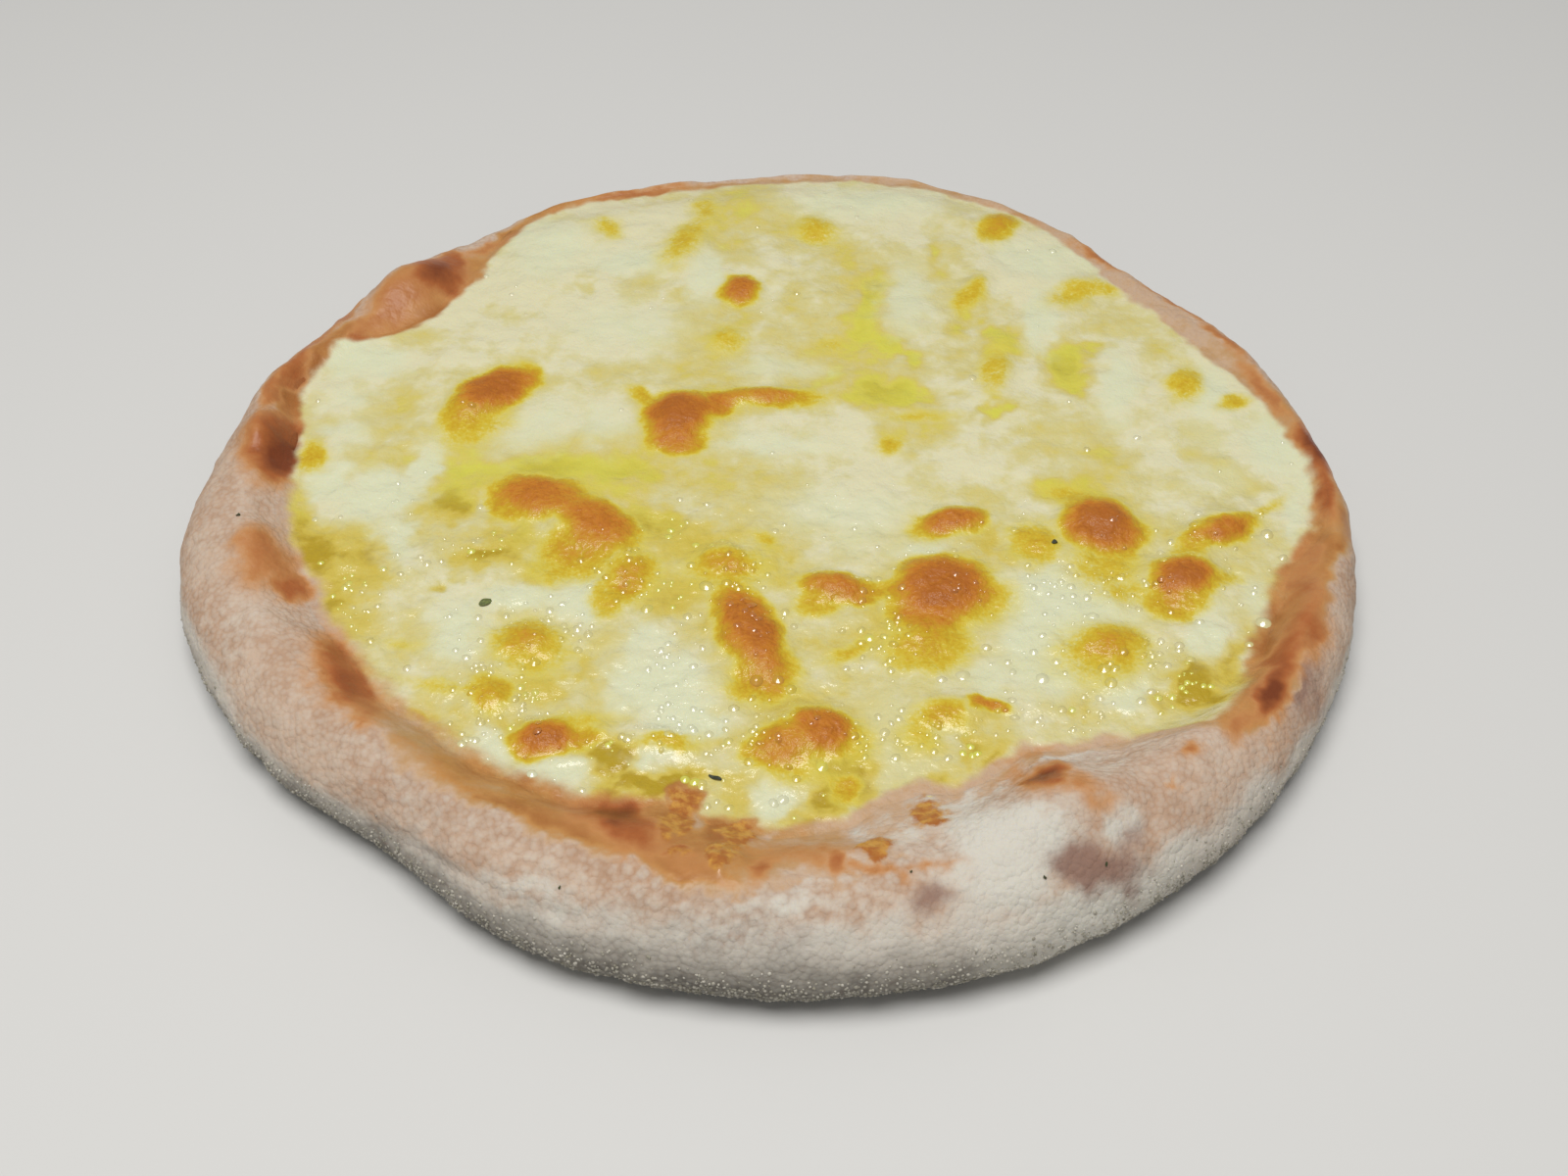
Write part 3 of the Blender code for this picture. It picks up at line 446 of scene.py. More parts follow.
def round_the_clock(values, bearing):
    """Smooth value at each bearing, read from values evenly spaced round the circle."""
    values = np.asarray(values)
    count = len(values)
    place = (bearing % 360) / 360 * count
    i = place.astype(int)
    t = place - i
    before, here, there, after = (values[(i + k) % count] for k in (-1, 0, 1, 2))
    return here + 0.5 * t * (
        there - before
        + t * (2 * before - 5 * here + 4 * there - after + t * (3 * (here - there) + after - before))
    )


def bearing_gap(a, b):
    """Difference between two bearings, from -180 to 180."""
    return (a - b + 180) % 360 - 180


def outer_reach(bearing):
    """Distance from the middle to the dough's outermost line."""
    push = sum(
        amount * np.exp(-((bearing_gap(bearing, middle) / half_width) ** 2))
        for middle, half_width, amount in OUTLINE_SWELLS
    )
    return DOUGH_REACH + push


def read_round(rows, bearing, column=1):
    """Value at each bearing, read between rows that each start with their own bearing."""
    rows = np.array(rows)
    return np.interp(bearing, rows[:, 0], rows[:, column], period=360)


def rim_width(bearing):
    """Width of bare rim that shows."""
    return round_the_clock(RIM_WIDTHS, bearing) - MM * read_round(EDGE_RUNS, bearing)


def wall_width(bearing):
    """Width of the rim down to the level of the cheese."""
    return np.maximum(round_the_clock(RIM_WIDTHS, bearing), rim_width(bearing))


def rim_height(bearing):
    """Height of the rim's crest."""
    return round_the_clock(RIM_HEIGHTS, bearing)


def cheese_reach(bearing):
    """Distance from the middle to the cheese's edge."""
    return outer_reach(bearing) - rim_width(bearing)


def edge_height(bearing):
    """Height of the dough at the foot of the rim's inner wall."""
    return np.minimum(CHEESE_LEVEL - EDGE_UNDER_LEVEL, rim_height(bearing) - EDGE_UNDER_CREST)


def crest_inset(bearing):
    """Distance of the crest in from the outer edge."""
    return np.clip(CREST_SHARE * round_the_clock(RIM_WIDTHS, bearing), *CREST_LIMITS)


def distance_in(x, y, spot):
    """Distance of each point from a spot's middle: 1 on the spot's outline."""
    cx, cy, length, width, turn = spot[:5]
    c, s = math.cos(math.radians(turn)), math.sin(math.radians(turn))
    along = ((x - cx) * c + (y - cy) * s) / (length / 2)
    across = ((y - cy) * c - (x - cx) * s) / (width / 2)
    return np.hypot(along, across)


def mound(x, y, spot):
    """Share of a spot's rise: 1 in its middle, 0 from its outline on."""
    return smooth(MOUND_FULLNESS * (1 - distance_in(x, y, spot)))


def noise_at(points, size, seed):
    """Smooth noise, mostly from -0.6 to 0.6, at each of the points; each seed gives a field of its own."""
    scaled = (np.asarray(points) / size + (0.0, 0.0, seed)).tolist()
    return np.array([noise.noise(place) for place in scaled])


def flat_noise(x, y, size, seed):
    """Smooth noise that is the same at every height."""
    return noise_at(np.stack([x, y, np.zeros_like(x)], axis=1), size, seed)


def marks_at(x, y, marks, wander, seed, crisp=False):
    """Strength of marks at each point: half a mark's own on its outline, which wanders by noise.

    With crisp, strong marks are level with steep edges, and weak ones stay soft.
    """
    coarse, fine = MARK_WANDER_SIZES
    wx = x + wander * flat_noise(x, y, coarse, seed) + 0.4 * wander * flat_noise(x, y, fine, seed + 2)
    wy = y + wander * flat_noise(x, y, coarse, seed + 7) + 0.4 * wander * flat_noise(x, y, fine, seed + 9)
    total = np.zeros_like(x)
    for mark in marks:
        steepness = 1.3 + 3.0 * mark[5] if crisp else 2.4
        reach = 1.1 * mark[2]
        near = (np.abs(wx - mark[0]) < reach) & (np.abs(wy - mark[1]) < reach)
        share = np.exp(-HALVING * distance_in(wx[near], wy[near], mark) ** steepness)
        total[near] += (mark[5] * share) ** 3
    return np.cbrt(total)


def crust_layers(x, y, bearing):
    """Toast, scorch, flour and drips, one number each."""
    flour = marks_at(x, y, FLOURED, 1.3 * MM, 41.0)
    return {
        "toast": toast_at(x, y, bearing) * (1 - 0.85 * smooth(1.2 * flour)),
        "scorch": marks_at(x, y, SCORCHED, 1.1 * MM, 31.0),
        "flour": flour,
        "drip": marks_at(x, y, DRIPS, 1.0 * MM, 35.0),
    }


def bubble_rise(x, y):
    """How far the rim's bubbles lift the dough."""
    return sum(spot[5] * MM * mound(x, y, spot) for spot in RIM_BUBBLES)


def dough_row_shares():
    """Zone and share along it for each row of the dough's section, from the foot's middle to the floor's."""
    rows = [("foot", 0.0)]
    for zone, count in DOUGH_ROWS.items():
        rows += [(zone, i / count) for i in range(1, count + 1)]
    return rows


def inner_fall(share):
    """Share of the fall from the crest to the cheese, at a share of the way."""
    return 0.4 * share ** 1.7 + 0.6 * smooth(share)


def dough_section(zone, share, bearing):
    """Radius, height and freedom to be uneven at a share of one zone of the section."""
    reach = outer_reach(bearing)
    width = wall_width(bearing)
    height = rim_height(bearing)
    foot = reach - FOOT_INSET * height
    widest = WIDEST_SHARE * height
    crest = crest_inset(bearing)
    edge = edge_height(bearing)
    cheese_edge = reach - width
    none = np.zeros_like(bearing)
    if zone == "foot":
        return foot * share, none, none
    if zone == "lower":
        turn = math.pi / 2 * share
        return foot + (reach - foot) * math.sin(turn), widest * (1 - math.cos(turn)), none
    if zone == "upper":
        turn = math.pi / 2 * share
        rise = math.sin(turn) ** 0.9
        inwards = 1 - max(0.0, math.cos(turn)) ** 1.1
        return reach - crest * inwards, widest + (height - widest) * rise, none + float(smooth(rise))
    if zone == "inner":
        return (
            reach - crest - (width - crest) * share,
            height + (edge - height) * inner_fall(share),
            none + 1 - share ** 2,
        )
    if zone == "bank":
        return cheese_edge - BANK_RUN * share, edge + (FLOOR_HEIGHT - edge) * share, none
    return (cheese_edge - BANK_RUN) * (1 - share), none + FLOOR_HEIGHT, none


def domes_at(points, size, seed):
    """Packed round domes: 1 on their tops, 0 in the grooves between them."""
    scaled = (np.asarray(points) / size + (0.0, 0.0, seed)).tolist()
    near = np.array([noise.voronoi(place)[0][:2] for place in scaled])
    return 1 - (1 - np.clip(1.5 * (near[:, 1] - near[:, 0]), 0, 1)) ** 2


def pebbled_at(x, y, bearing):
    """How pebbled the crust is, in a band along the toasted one."""
    past = np.hypot(x, y) - cheese_reach(bearing) - MM * read_round(TOAST_BAND, bearing)
    band = smooth((past + 1.0 * MM) / (1.5 * MM)) * smooth((6.5 * MM - past) / (4 * MM))
    return band * read_round(PEBBLED, bearing)


def crust_relief(points, toast, drip, settings):
    """Rise of the crust's lumps, smoother where it is toasted, and of the cheese that dripped on it."""
    fine = 0.6 * noise_at(points, 1.9 * MM, 4.5) + 0.3 * noise_at(points, 1.1 * MM, 6.5)
    lumps = settings.lump_rise * (noise_at(points, 4.2 * MM, 1.5) + fine * (1 - 0.6 * smooth(toast * 3)))
    crinkles = 1 + 0.5 * noise_at(points, 0.9 * MM, 9.5) * (drip > 0.02)
    return lumps + settings.drip_rise * smooth(1.6 * drip) * crinkles


def crease_relief(points, bearing, depth):
    """The crease on the outside of the rim, and the lip under it."""
    start, end = CREASE_BEARINGS
    z = points[:, 2]
    along = np.clip((bearing - start) / (end - start), 0, 1)
    line = (CREASE_HEIGHT + CREASE_CLIMB * np.sqrt(along)) * MM
    window = smooth((bearing - start) / CREASE_FADES[0]) * smooth((end - bearing) / CREASE_FADES[1])
    fold = -depth * np.exp(-((z - line) / CREASE_WIDTH) ** 2)
    lip = LIP_RISE * smooth((line - z) / (1.2 * MM)) * smooth(z / (2 * MM))
    return window * (fold + lip)


def dough_inner_height(x, y, radius, bearing, toast, drip, settings):
    """Height of the dough from its crest down to the cheese's edge, and falling on under the cheese."""
    reach, width, crest = outer_reach(bearing), wall_width(bearing), crest_inset(bearing)
    height, edge = rim_height(bearing), edge_height(bearing)
    share = np.clip((reach - crest - radius) / (width - crest), 0, 1)
    past_crest = np.maximum(0, radius - reach + crest) / crest
    bumps = bubble_rise(x, y) + DOUGH_UNEVEN[0] * flat_noise(x, y, DOUGH_UNEVEN[1], 3.0)
    under = np.maximum(0, reach - width - radius)
    z = height + (edge - height) * inner_fall(share) + (1 - share ** 2) * bumps - 0.25 * under
    z -= 0.45 * (1 - WIDEST_SHARE) * height * past_crest ** 1.8
    relief = crust_relief(np.stack([x, y, z], axis=1), toast, drip, settings)
    return z + (1 - 0.6 * share) * relief


def toast_at(x, y, bearing):
    """How toasted the rim is: a band beside the cheese, with a soft and wandering outer edge."""
    beyond = np.hypot(x, y) - cheese_reach(bearing)
    wander = 1.3 * MM * flat_noise(x, y, 4 * MM, 21.0) + 0.7 * MM * flat_noise(x, y, 1.5 * MM, 22.0)
    width = MM * read_round(TOAST_BAND, bearing) + wander
    depth = read_round(TOAST_BAND, bearing, 2) * (1 + 0.45 * flat_noise(x, y, 3.5 * MM, 23.0))
    soft = 0.5 * MM + 0.12 * np.maximum(width, 0)
    return depth * smooth(0.5 + (width - beyond) / (2 * soft))


def cheese_level(x, y, inset, bearing):
    """Height of the cheese by itself: level, with blisters, and rounded down at its edge."""
    edge = edge_height(bearing)
    shelf = np.minimum(CHEESE_LEVEL, edge + SHELF_RISE)
    level = shelf + (CHEESE_LEVEL - shelf) * smooth(inset / SHELF_RUN)
    height = edge + (level - edge) * smooth(inset / EDGE_ROUNDING) ** 0.8
    spread = [(bx, by, BLISTER_GROWTH * length, BLISTER_GROWTH * width, turn, BLISTER_RISE * rise)
              for bx, by, length, width, turn, rise in BLISTERS]
    blisters = np.max([spot[5] * MM * mound(x, y, spot) for spot in spread], axis=0)
    away = smooth(inset / (3 * MM))
    return height + away * (blisters + CHEESE_UNEVEN[0] * flat_noise(x, y, CHEESE_UNEVEN[1], 8.0))


def higher_of(a, b, blend):
    """The higher of two surfaces, with a soft fillet where they cross."""
    near = np.maximum(0, 1 - np.abs(a - b) / blend)
    return np.maximum(a, b) + near * near * blend / 4


# ---- Meshes --------------------------------------------------------------------------------------------
def points_of(mesh):
    flat = np.empty(len(mesh.vertices) * 3, dtype=np.float32)
    mesh.vertices.foreach_get("co", flat)
    return flat.reshape(-1, 3).astype(float)


def normals_of(mesh):
    flat = np.empty(len(mesh.vertices) * 3, dtype=np.float32)
    mesh.vertex_normals.foreach_get("vector", flat)
    return flat.reshape(-1, 3).astype(float)


def set_points(mesh, points):
    mesh.vertices.foreach_set("co", points.astype(np.float32).ravel())
    mesh.update()


def set_values(mesh, **layers):
    """Stores one number for each vertex under each name, for the materials to read."""
    for name, values in layers.items():
        layer = mesh.attributes.new(name, "FLOAT", "POINT")
        layer.data.foreach_set("value", np.asarray(values, dtype=np.float32))


def values_of(mesh, name):
    values = np.empty(len(mesh.vertices), dtype=np.float32)
    mesh.attributes[name].data.foreach_get("value", values)
    return values.astype(float)


def mesh_from(bm, name):
    mesh = bpy.data.meshes.new(name)
    bm.to_mesh(mesh)
    bm.free()
    return mesh


def face_values(mesh, name, width):
    """A row of numbers for each face: its area, centre or normal."""
    flat = np.empty(len(mesh.polygons) * width)
    mesh.polygons.foreach_get(name, flat)
    return flat.reshape(-1, width)


def placed(name, mesh, material):
    """A finished piece that rides with the whole sfiha."""
    mesh.shade_smooth()
    mesh.materials.append(material)
    piece = bpy.data.objects.new(name, mesh)
    bpy.context.scene.collection.objects.link(piece)
    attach(piece, "root")
    return piece


def faces_outwards(mesh):
    """Turns every face of a closed mesh outwards."""
    bm = bmesh.new()
    bm.from_mesh(mesh)
    bmesh.ops.recalc_face_normals(bm, faces=bm.faces)
    bm.to_mesh(mesh)
    bm.free()


def joined_copies(name, shape, places, turns, sizes):
    """One mesh of many copies of a shape: at each place, turned by a matrix and sized along its own axes."""
    corners = points_of(shape)
    faces = np.array([list(face.vertices) for face in shape.polygons])
    count = len(places)
    points = corners[None, :, :] * sizes[:, None, :]
    points = np.einsum("nij,nkj->nki", turns, points) + places[:, None, :]
    joined = faces[None, :, :] + (np.arange(count) * len(corners))[:, None, None]
    mesh = bpy.data.meshes.new(name)
    mesh.from_pydata(points.reshape(-1, 3).tolist(), [], joined.reshape(-1, faces.shape[1]).tolist())
    mesh.update()
    bpy.data.meshes.remove(shape)
    return mesh, np.repeat(np.arange(count), len(corners))


def round_shape(subdivisions):
    bm = bmesh.new()
    bmesh.ops.create_icosphere(bm, subdivisions=subdivisions, radius=1.0)
    return mesh_from(bm, "shape")


def bead_shape():
    """A low drop of unit half width; a short skirt at its edge and a shallow bowl close it below."""
    bm = bmesh.new()
    bmesh.ops.create_uvsphere(bm, u_segments=10, v_segments=8, radius=1.0)
    for vert in bm.verts:
        polar = math.acos(min(1.0, abs(vert.co.z))) / (math.pi / 2)
        turn = math.atan2(vert.co.y, vert.co.x)
        across = float(np.interp(polar, (0, 0.25, 0.5, 0.75, 1), BEAD_RINGS))
        fall = max(0.0, 1 - (across / BEAD_RINGS[-2]) ** 2)
        drop, bowl = BEAD_HEIGHT * fall ** 2, -BEAD_SKIRT - BEAD_BOWL * (1 - across)
        height = drop if vert.co.z > 0.01 else bowl
        vert.co = (across * math.cos(turn), across * math.sin(turn), height)
    bmesh.ops.triangulate(bm, faces=bm.faces)
    return mesh_from(bm, "shape")


def standing_on(normals, spins):
    """Matrices that stand a shape's +Z on each normal, turned about it by a spin in radians."""
    up = normals / np.linalg.norm(normals, axis=1, keepdims=True)
    helper = np.where(np.abs(up[:, 2:3]) < 0.9, (0.0, 0.0, 1.0), (1.0, 0.0, 0.0))
    side = np.cross(helper, up)
    side /= np.linalg.norm(side, axis=1, keepdims=True)
    front = np.cross(up, side)
    c, s = np.cos(spins)[:, None], np.sin(spins)[:, None]
    return np.stack([side * c + front * s, front * c - side * s, up], axis=2)


def scattered(mesh, density, count, rng):
    """Points on a mesh's faces with their normals and faces, more of them where the density is higher."""
    areas = face_values(mesh, "area", 1).ravel()
    centres = face_values(mesh, "center", 3)
    normals = face_values(mesh, "normal", 3)
    weights = areas * density(centres, normals)
    chosen = rng.choice(len(areas), size=count, p=weights / weights.sum())
    spread = np.sqrt(areas[chosen])[:, None] * 0.4
    jitter = rng.normal(size=(count, 3)) * spread
    flat = normals[chosen]
    jitter -= (jitter * flat).sum(axis=1, keepdims=True) * flat
    return centres[chosen] + jitter, flat, chosen


def surface_finder(pieces):
    """A function that gives the height of the topmost of the pieces above a point."""
    trees = []
    for piece in pieces:
        bm = bmesh.new()
        bm.from_mesh(piece.data)
        trees.append(BVHTree.FromBMesh(bm))
        bm.free()

    def height_at(x, y):
        hits = [tree.ray_cast(Vector((x, y, 0.1)), Vector((0, 0, -1)))[0] for tree in trees]
        return max(hit.z for hit in hits if hit)

    return height_at


# ---- Materials -----------------------------------------------------------------------------------------
class Recipe:
    """Nodes of one material, added and joined by short calls."""

    def __init__(self, name):
        self.material = bpy.data.materials.new(name)
        self.material.use_nodes = True
        self.tree = self.material.node_tree
        self.shader = self.tree.nodes["Principled BSDF"]
        self.object_place = self.tree.nodes.new("ShaderNodeTexCoord").outputs["Object"]

    def feed(self, socket, value):
        if isinstance(value, bpy.types.NodeSocket):
            self.tree.links.new(value, socket)
        elif socket.type == "RGBA":
            socket.default_value = (*value[:3], 1.0)
        else:
            socket.default_value = value

    def value(self, name):
        node = self.tree.nodes.new("ShaderNodeAttribute")
        node.attribute_name = name
        return node.outputs["Fac"]

    def calculate(self, kind, a, b, limited=False):
        node = self.tree.nodes.new("ShaderNodeMath")
        node.operation = kind
        node.use_clamp = limited
        self.feed(node.inputs[0], a)
        self.feed(node.inputs[1], b)
        return node.outputs[0]

    def plus(self, a, b):
        return self.calculate("ADD", a, b)

    def minus(self, a, b):
        return self.calculate("SUBTRACT", a, b)

    def times(self, a, b):
        return self.calculate("MULTIPLY", a, b)

    def higher(self, a, b):
        return self.calculate("MAXIMUM", a, b)

    def centred(self, noise):
        """Noise that swings about 0 instead of 0.5."""
        return self.minus(noise, 0.5)

    def ragged(self, name, noise, full, amount=1.0):
        """A mark's value plus noise, which fades in up to an amount while the value grows to full."""
        value = self.value(name)
        return self.plus(value, self.times(noise, self.range(value, 0.0, full, 0.0, amount)))

    def noise(self, size, detail=2.0, roughness=0.5, distortion=0.0):
        node = self.tree.nodes.new("ShaderNodeTexNoise")
        self.feed(node.inputs["Vector"], self.object_place)
        node.inputs["Scale"].default_value = 1 / size
        node.inputs["Detail"].default_value = detail
        node.inputs["Roughness"].default_value = roughness
        node.inputs["Distortion"].default_value = distortion
        return node.outputs[0]

    def cells(self, size):
        """Distance to the nearest of a field of scattered points, in shares of the size."""
        node = self.tree.nodes.new("ShaderNodeTexVoronoi")
        self.feed(node.inputs["Vector"], self.object_place)
        node.inputs["Scale"].default_value = 1 / size
        return node.outputs["Distance"]

    def pebbles(self, size):
        """Packed round domes: 1 on their tops, 0 between them."""
        distance = self.times(self.cells(size), 1.2)
        fall = self.calculate("SUBTRACT", 1.0, self.times(distance, distance), limited=True)
        return self.calculate("POWER", fall, 0.8)

    def range(self, value, low, high, new_low=0.0, new_high=1.0, kind="SMOOTHSTEP"):
        node = self.tree.nodes.new("ShaderNodeMapRange")
        node.interpolation_type = kind
        for socket, number in zip(list(node.inputs)[:5], (value, low, high, new_low, new_high)):
            self.feed(socket, number)
        return node.outputs[0]

    def between(self, share, start, end):
        """From start to end while a share goes from 0 to 1."""
        return self.range(share, 0.0, 1.0, start, end)

    def mix(self, factor, a, b):
        node = self.tree.nodes.new("ShaderNodeMix")
        node.data_type = "RGBA"
        for socket, value in ((node.inputs[0], factor), (node.inputs[6], a), (node.inputs[7], b)):
            self.feed(socket, value)
        return node.outputs[2]

    def ramp(self, value, *stops):
        """A colour for each place along a value."""
        node = self.tree.nodes.new("ShaderNodeValToRGB")
        self.feed(node.inputs[0], value)
        elements = node.color_ramp.elements
        while len(elements) < len(stops):
            elements.new(0.5)
        for element, (place, colour) in zip(elements, stops):
            element.position = place
            element.color = (*colour[:3], 1.0)
        return node.outputs[0]

    def bump(self, height, distance, strength=1.0, before=None):
        node = self.tree.nodes.new("ShaderNodeBump")
        node.inputs["Distance"].default_value = distance
        self.feed(node.inputs["Strength"], strength)
        self.feed(node.inputs["Height"], height)
        if before is not None:
            self.feed(node.inputs["Normal"], before)
        return node.outputs[0]

    def finish(self, **sockets):
        for name, value in sockets.items():
            self.feed(self.shader.inputs[name.replace("_", " ")], value)
        return self.material


def floured_crust(r, colours, bare, grain, wander, grainy):
    """Dust and flour over the bare crust, painted shade at the foot and in the grooves, pale pebbles and
    bruises.
    """
    dust_and_foot_shade = r.plus(r.value("dust_and_foot_shade"), r.times(wander, 0.8))
    creamy = r.mix(r.range(dust_and_foot_shade, 0.10, 0.80), bare, colours.cream)
    # Painted shade: the low layer darkens the crust towards the foot of the rim.
    low = r.ragged("low", wander, 0.2, 0.5)
    foot_shaded = r.mix(r.range(low, 0.0, 0.65, kind="LINEAR"), creamy, colours.dust_and_foot_shade)
    pebble = r.value("pebble")
    tops = r.mix(r.range(pebble, 0.0, 0.5, 0.0, 0.28), foot_shaded, colours.flour)
    # Painted shade: the grooves between the pebbles are darkened.
    groove_shaded = r.mix(r.range(pebble, -0.4, 0.0, 0.24, 0.0), tops, colours.groove_shade)
    speckled = r.mix(r.range(grain, 0.45, 1.0, 0.0, 0.22), groove_shaded, colours.flour)
    flour = r.plus(r.value("flour"), grainy)
    floured = r.mix(r.range(flour, 0.12, 0.80), speckled, colours.flour)
    bruise = r.plus(r.value("bruise"), grainy)
    return r.mix(r.range(bruise, 0.08, 0.80, 0.0, 0.92), floured, colours.bruise)


def toasted_crust(r, colours, floured, poking):
    """Toast beside the cheese and scorched places, both fainter on top of the pebbles."""
    toast = r.ragged("toast", poking, 0.1, 0.55)
    toasts = r.ramp(
        toast, (0.0, colours.peach), (0.20, colours.peach), (0.36, colours.tan), (0.52, colours.gold),
        (0.80, colours.toast))
    toasted = r.mix(r.range(toast, 0.02, 0.22), floured, toasts)
    scorch = r.plus(r.value("scorch"), r.times(poking, 0.35))
    scorches = r.ramp(
        scorch, (0.0, colours.toast_pale), (0.30, colours.toast_pale), (0.62, colours.scorch),
        (1.0, colours.char))
    return r.mix(r.range(scorch, 0.0, 0.42), toasted, scorches)


def crust_parts(r, colours):
    """The crust's colour, how oily it is, the height of its relief and the shine of its drips."""
    broad = r.noise(5 * MM, 3, 0.6)
    middle = r.noise(1.6 * MM, 3, 0.6)
    fine = r.noise(0.35 * MM, 2, 0.6)
    grain = r.pebbles(0.62 * MM)
    wander = r.times(r.centred(middle), 0.7)
    grainy = r.plus(wander, r.times(r.centred(fine), 0.2))
    poking = r.minus(grainy, r.times(r.value("pebble"), 0.35))

    uneven = r.plus(r.times(broad, 0.65), r.times(middle, 0.35))
    bare = r.mix(r.range(uneven, 0.40, 0.60), colours.crust_deep, colours.crust_pale)
    floured = floured_crust(r, colours, bare, grain, wander, grainy)
    marked = toasted_crust(r, colours, floured, poking)
    fried = r.mix(r.range(r.noise(1.3 * MM, 3, 0.6), 0.38, 0.66), colours.drip, colours.drip_gold)
    dripped = r.mix(r.range(r.ragged("drip", grainy, 0.3), 0.20, 0.48), marked, fried)

    browned = r.higher(r.value("toast"), r.times(r.value("scorch"), 0.7))
    oily = r.higher(r.range(browned, 0.05, 0.40), r.range(r.value("drip"), 0.05, 0.3))
    relief = r.plus(r.times(grain, 0.6), r.times(fine, 0.5))
    shine = r.range(r.value("drip"), 0.15, 0.5, 0.0, 0.7)
    return dripped, oily, relief, shine


def dough_material(colours):
    """Matt, pebbled crust: floury below, with painted shade at the foot and between the pebbles, pink-beige
    above, golden and oily by the cheese.
    """
    r = Recipe("baked_dough")
    crust, oily, relief, shine = crust_parts(r, colours)
    lumps = r.bump(r.noise(2.4 * MM, 3, 0.5), 0.5 * MM, r.between(oily, 0.35, 0.55))
    normal = r.bump(relief, 0.16 * MM, r.between(oily, 0.9, 0.2), lumps)
    return r.finish(
        Base_Color=crust, Roughness=r.between(oily, *CRUST_ROUGHNESS), Normal=normal,
        Coat_Weight=shine, Coat_Normal=normal, Coat_Roughness=0.14, **SOFT_AND_OILY)


def cheese_colour(r, colours):
    """Curd, cream and yellow oil, browned where the marks are, and the two noises of its skin."""
    broad = r.noise(3.6 * MM, 3, 0.6)
    middle = r.noise(1.4 * MM, 3, 0.62, 0.3)
    fine = r.noise(0.45 * MM, 2, 0.6)
    wander = r.centred(middle)
    patches = r.plus(r.centred(broad), r.times(wander, 0.25))

    oil = r.plus(r.value("oil"), patches)
    wet = r.value("wet")
    hollow = r.mix(wet, colours.oil_green, colours.oil)
    deepest = r.mix(wet, colours.oil_green, colours.oil_deep)
    film = r.ramp(
        oil, (0.0, colours.cream), (0.10, colours.cream), (0.34, colours.cream_deep),
        (0.60, colours.oil_pale))
    oily = r.mix(r.range(oil, 0.48, 0.84), film, r.mix(r.range(oil, 0.78, 1.1), hollow, deepest))
    curd = r.plus(r.value("curd"), r.times(patches, 0.7))
    milky = r.mix(r.range(curd, 0.05, 0.85, 0.0, 0.92), oily, colours.curd)

    mottle = r.plus(r.times(wander, 0.42), r.times(r.centred(fine), 0.46))
    browned = r.ragged("browning", mottle, 0.35)
    browns = r.ramp(
        browned, (0.0, colours.halo), (0.10, colours.halo), (0.21, colours.gold_edge), (0.36, colours.gold),
        (0.54, colours.orange), (0.76, colours.brown), (1.0, colours.brown_deep))
    return r.mix(r.range(browned, 0.0, 0.17), milky, browns), middle, fine


def cheese_material(colours, crust_colours):
    """Melted cheese under a film of oil, thinning out over the crust at its edge."""
    r = Recipe("melted_cheese")
    cheese, middle, fine = cheese_colour(r, colours)
    crust, crust_oily, _, shine = crust_parts(r, crust_colours)
    rim = r.range(r.plus(r.value("rim"), r.times(r.centred(middle), 0.4)), 0.06, 0.94)
    brown = r.range(r.value("browning"), 0.15, 0.75)
    wet = r.value("wet")
    roughness = r.mix(rim, r.between(brown, *CHEESE_ROUGHNESS), r.between(crust_oily, *CRUST_ROUGHNESS))
    bare = r.times(r.between(brown, 1.0, 0.3), r.between(rim, 1.0, 0.0))
    coat = r.higher(r.times(r.between(wet, 0.12, 0.42), bare), shine)
    lumps = r.bump(r.noise(2.2 * MM, 2, 0.5), 0.45 * MM, r.between(wet, 0.35, 1.0))
    skin = r.plus(r.times(middle, 0.7), r.times(fine, 0.45))
    normal = r.bump(skin, 0.30 * MM, r.between(brown, 0.55, 1.0), lumps)
    return r.finish(
        Base_Color=r.mix(rim, cheese, crust), Roughness=roughness, Normal=normal,
        Coat_Weight=coat, Coat_Normal=normal, Coat_Roughness=0.10, **SOFT_AND_OILY)


def bead_material(colours):
    """A bead of clear fat over the cheese's own colours."""
    r = Recipe("fat_bead")
    return r.finish(
        Base_Color=cheese_colour(r, colours)[0], Roughness=0.25, Coat_Weight=1.0, Coat_Roughness=0.10,
        Coat_IOR=1.8)


def grain_material(colours):
    """Matt grains, each of its own shade."""
    r = Recipe("semolina")
    tint = r.mix(r.range(r.value("shade"), 0.0, 1.0, kind="LINEAR"), colours.grain_deep, colours.grain_pale)
    speckled = r.mix(r.range(r.noise(0.3 * MM), 0.3, 0.7, 0.0, 0.25), tint, colours.grain_deep)
    return r.finish(Base_Color=speckled, Roughness=0.8, Normal=r.bump(r.noise(0.2 * MM), 0.05 * MM, 0.6))


def herb_material(colours):
    """Dried herb: dull green to nearly black."""
    r = Recipe("dried_herb")
    tint = r.mix(r.value("shade"), colours.herb, colours.herb_dark)
    mottled = r.mix(r.range(r.noise(0.25 * MM, 3), 0.35, 0.65, 0.0, 0.6), tint, colours.herb_dark)
    return r.finish(Base_Color=mottled, Roughness=0.6, Normal=r.bump(r.noise(0.12 * MM, 3), 0.04 * MM))


def floor_material(pale):
    """A matt floor with hardly any unevenness."""
    r = Recipe("pale_floor")
    cloud = r.range(r.noise(60 * MM), 0.2, 0.8, 0.0, 0.05)
    return r.finish(Base_Color=r.mix(cloud, pale, FLOOR_SHADE), Roughness=0.7)


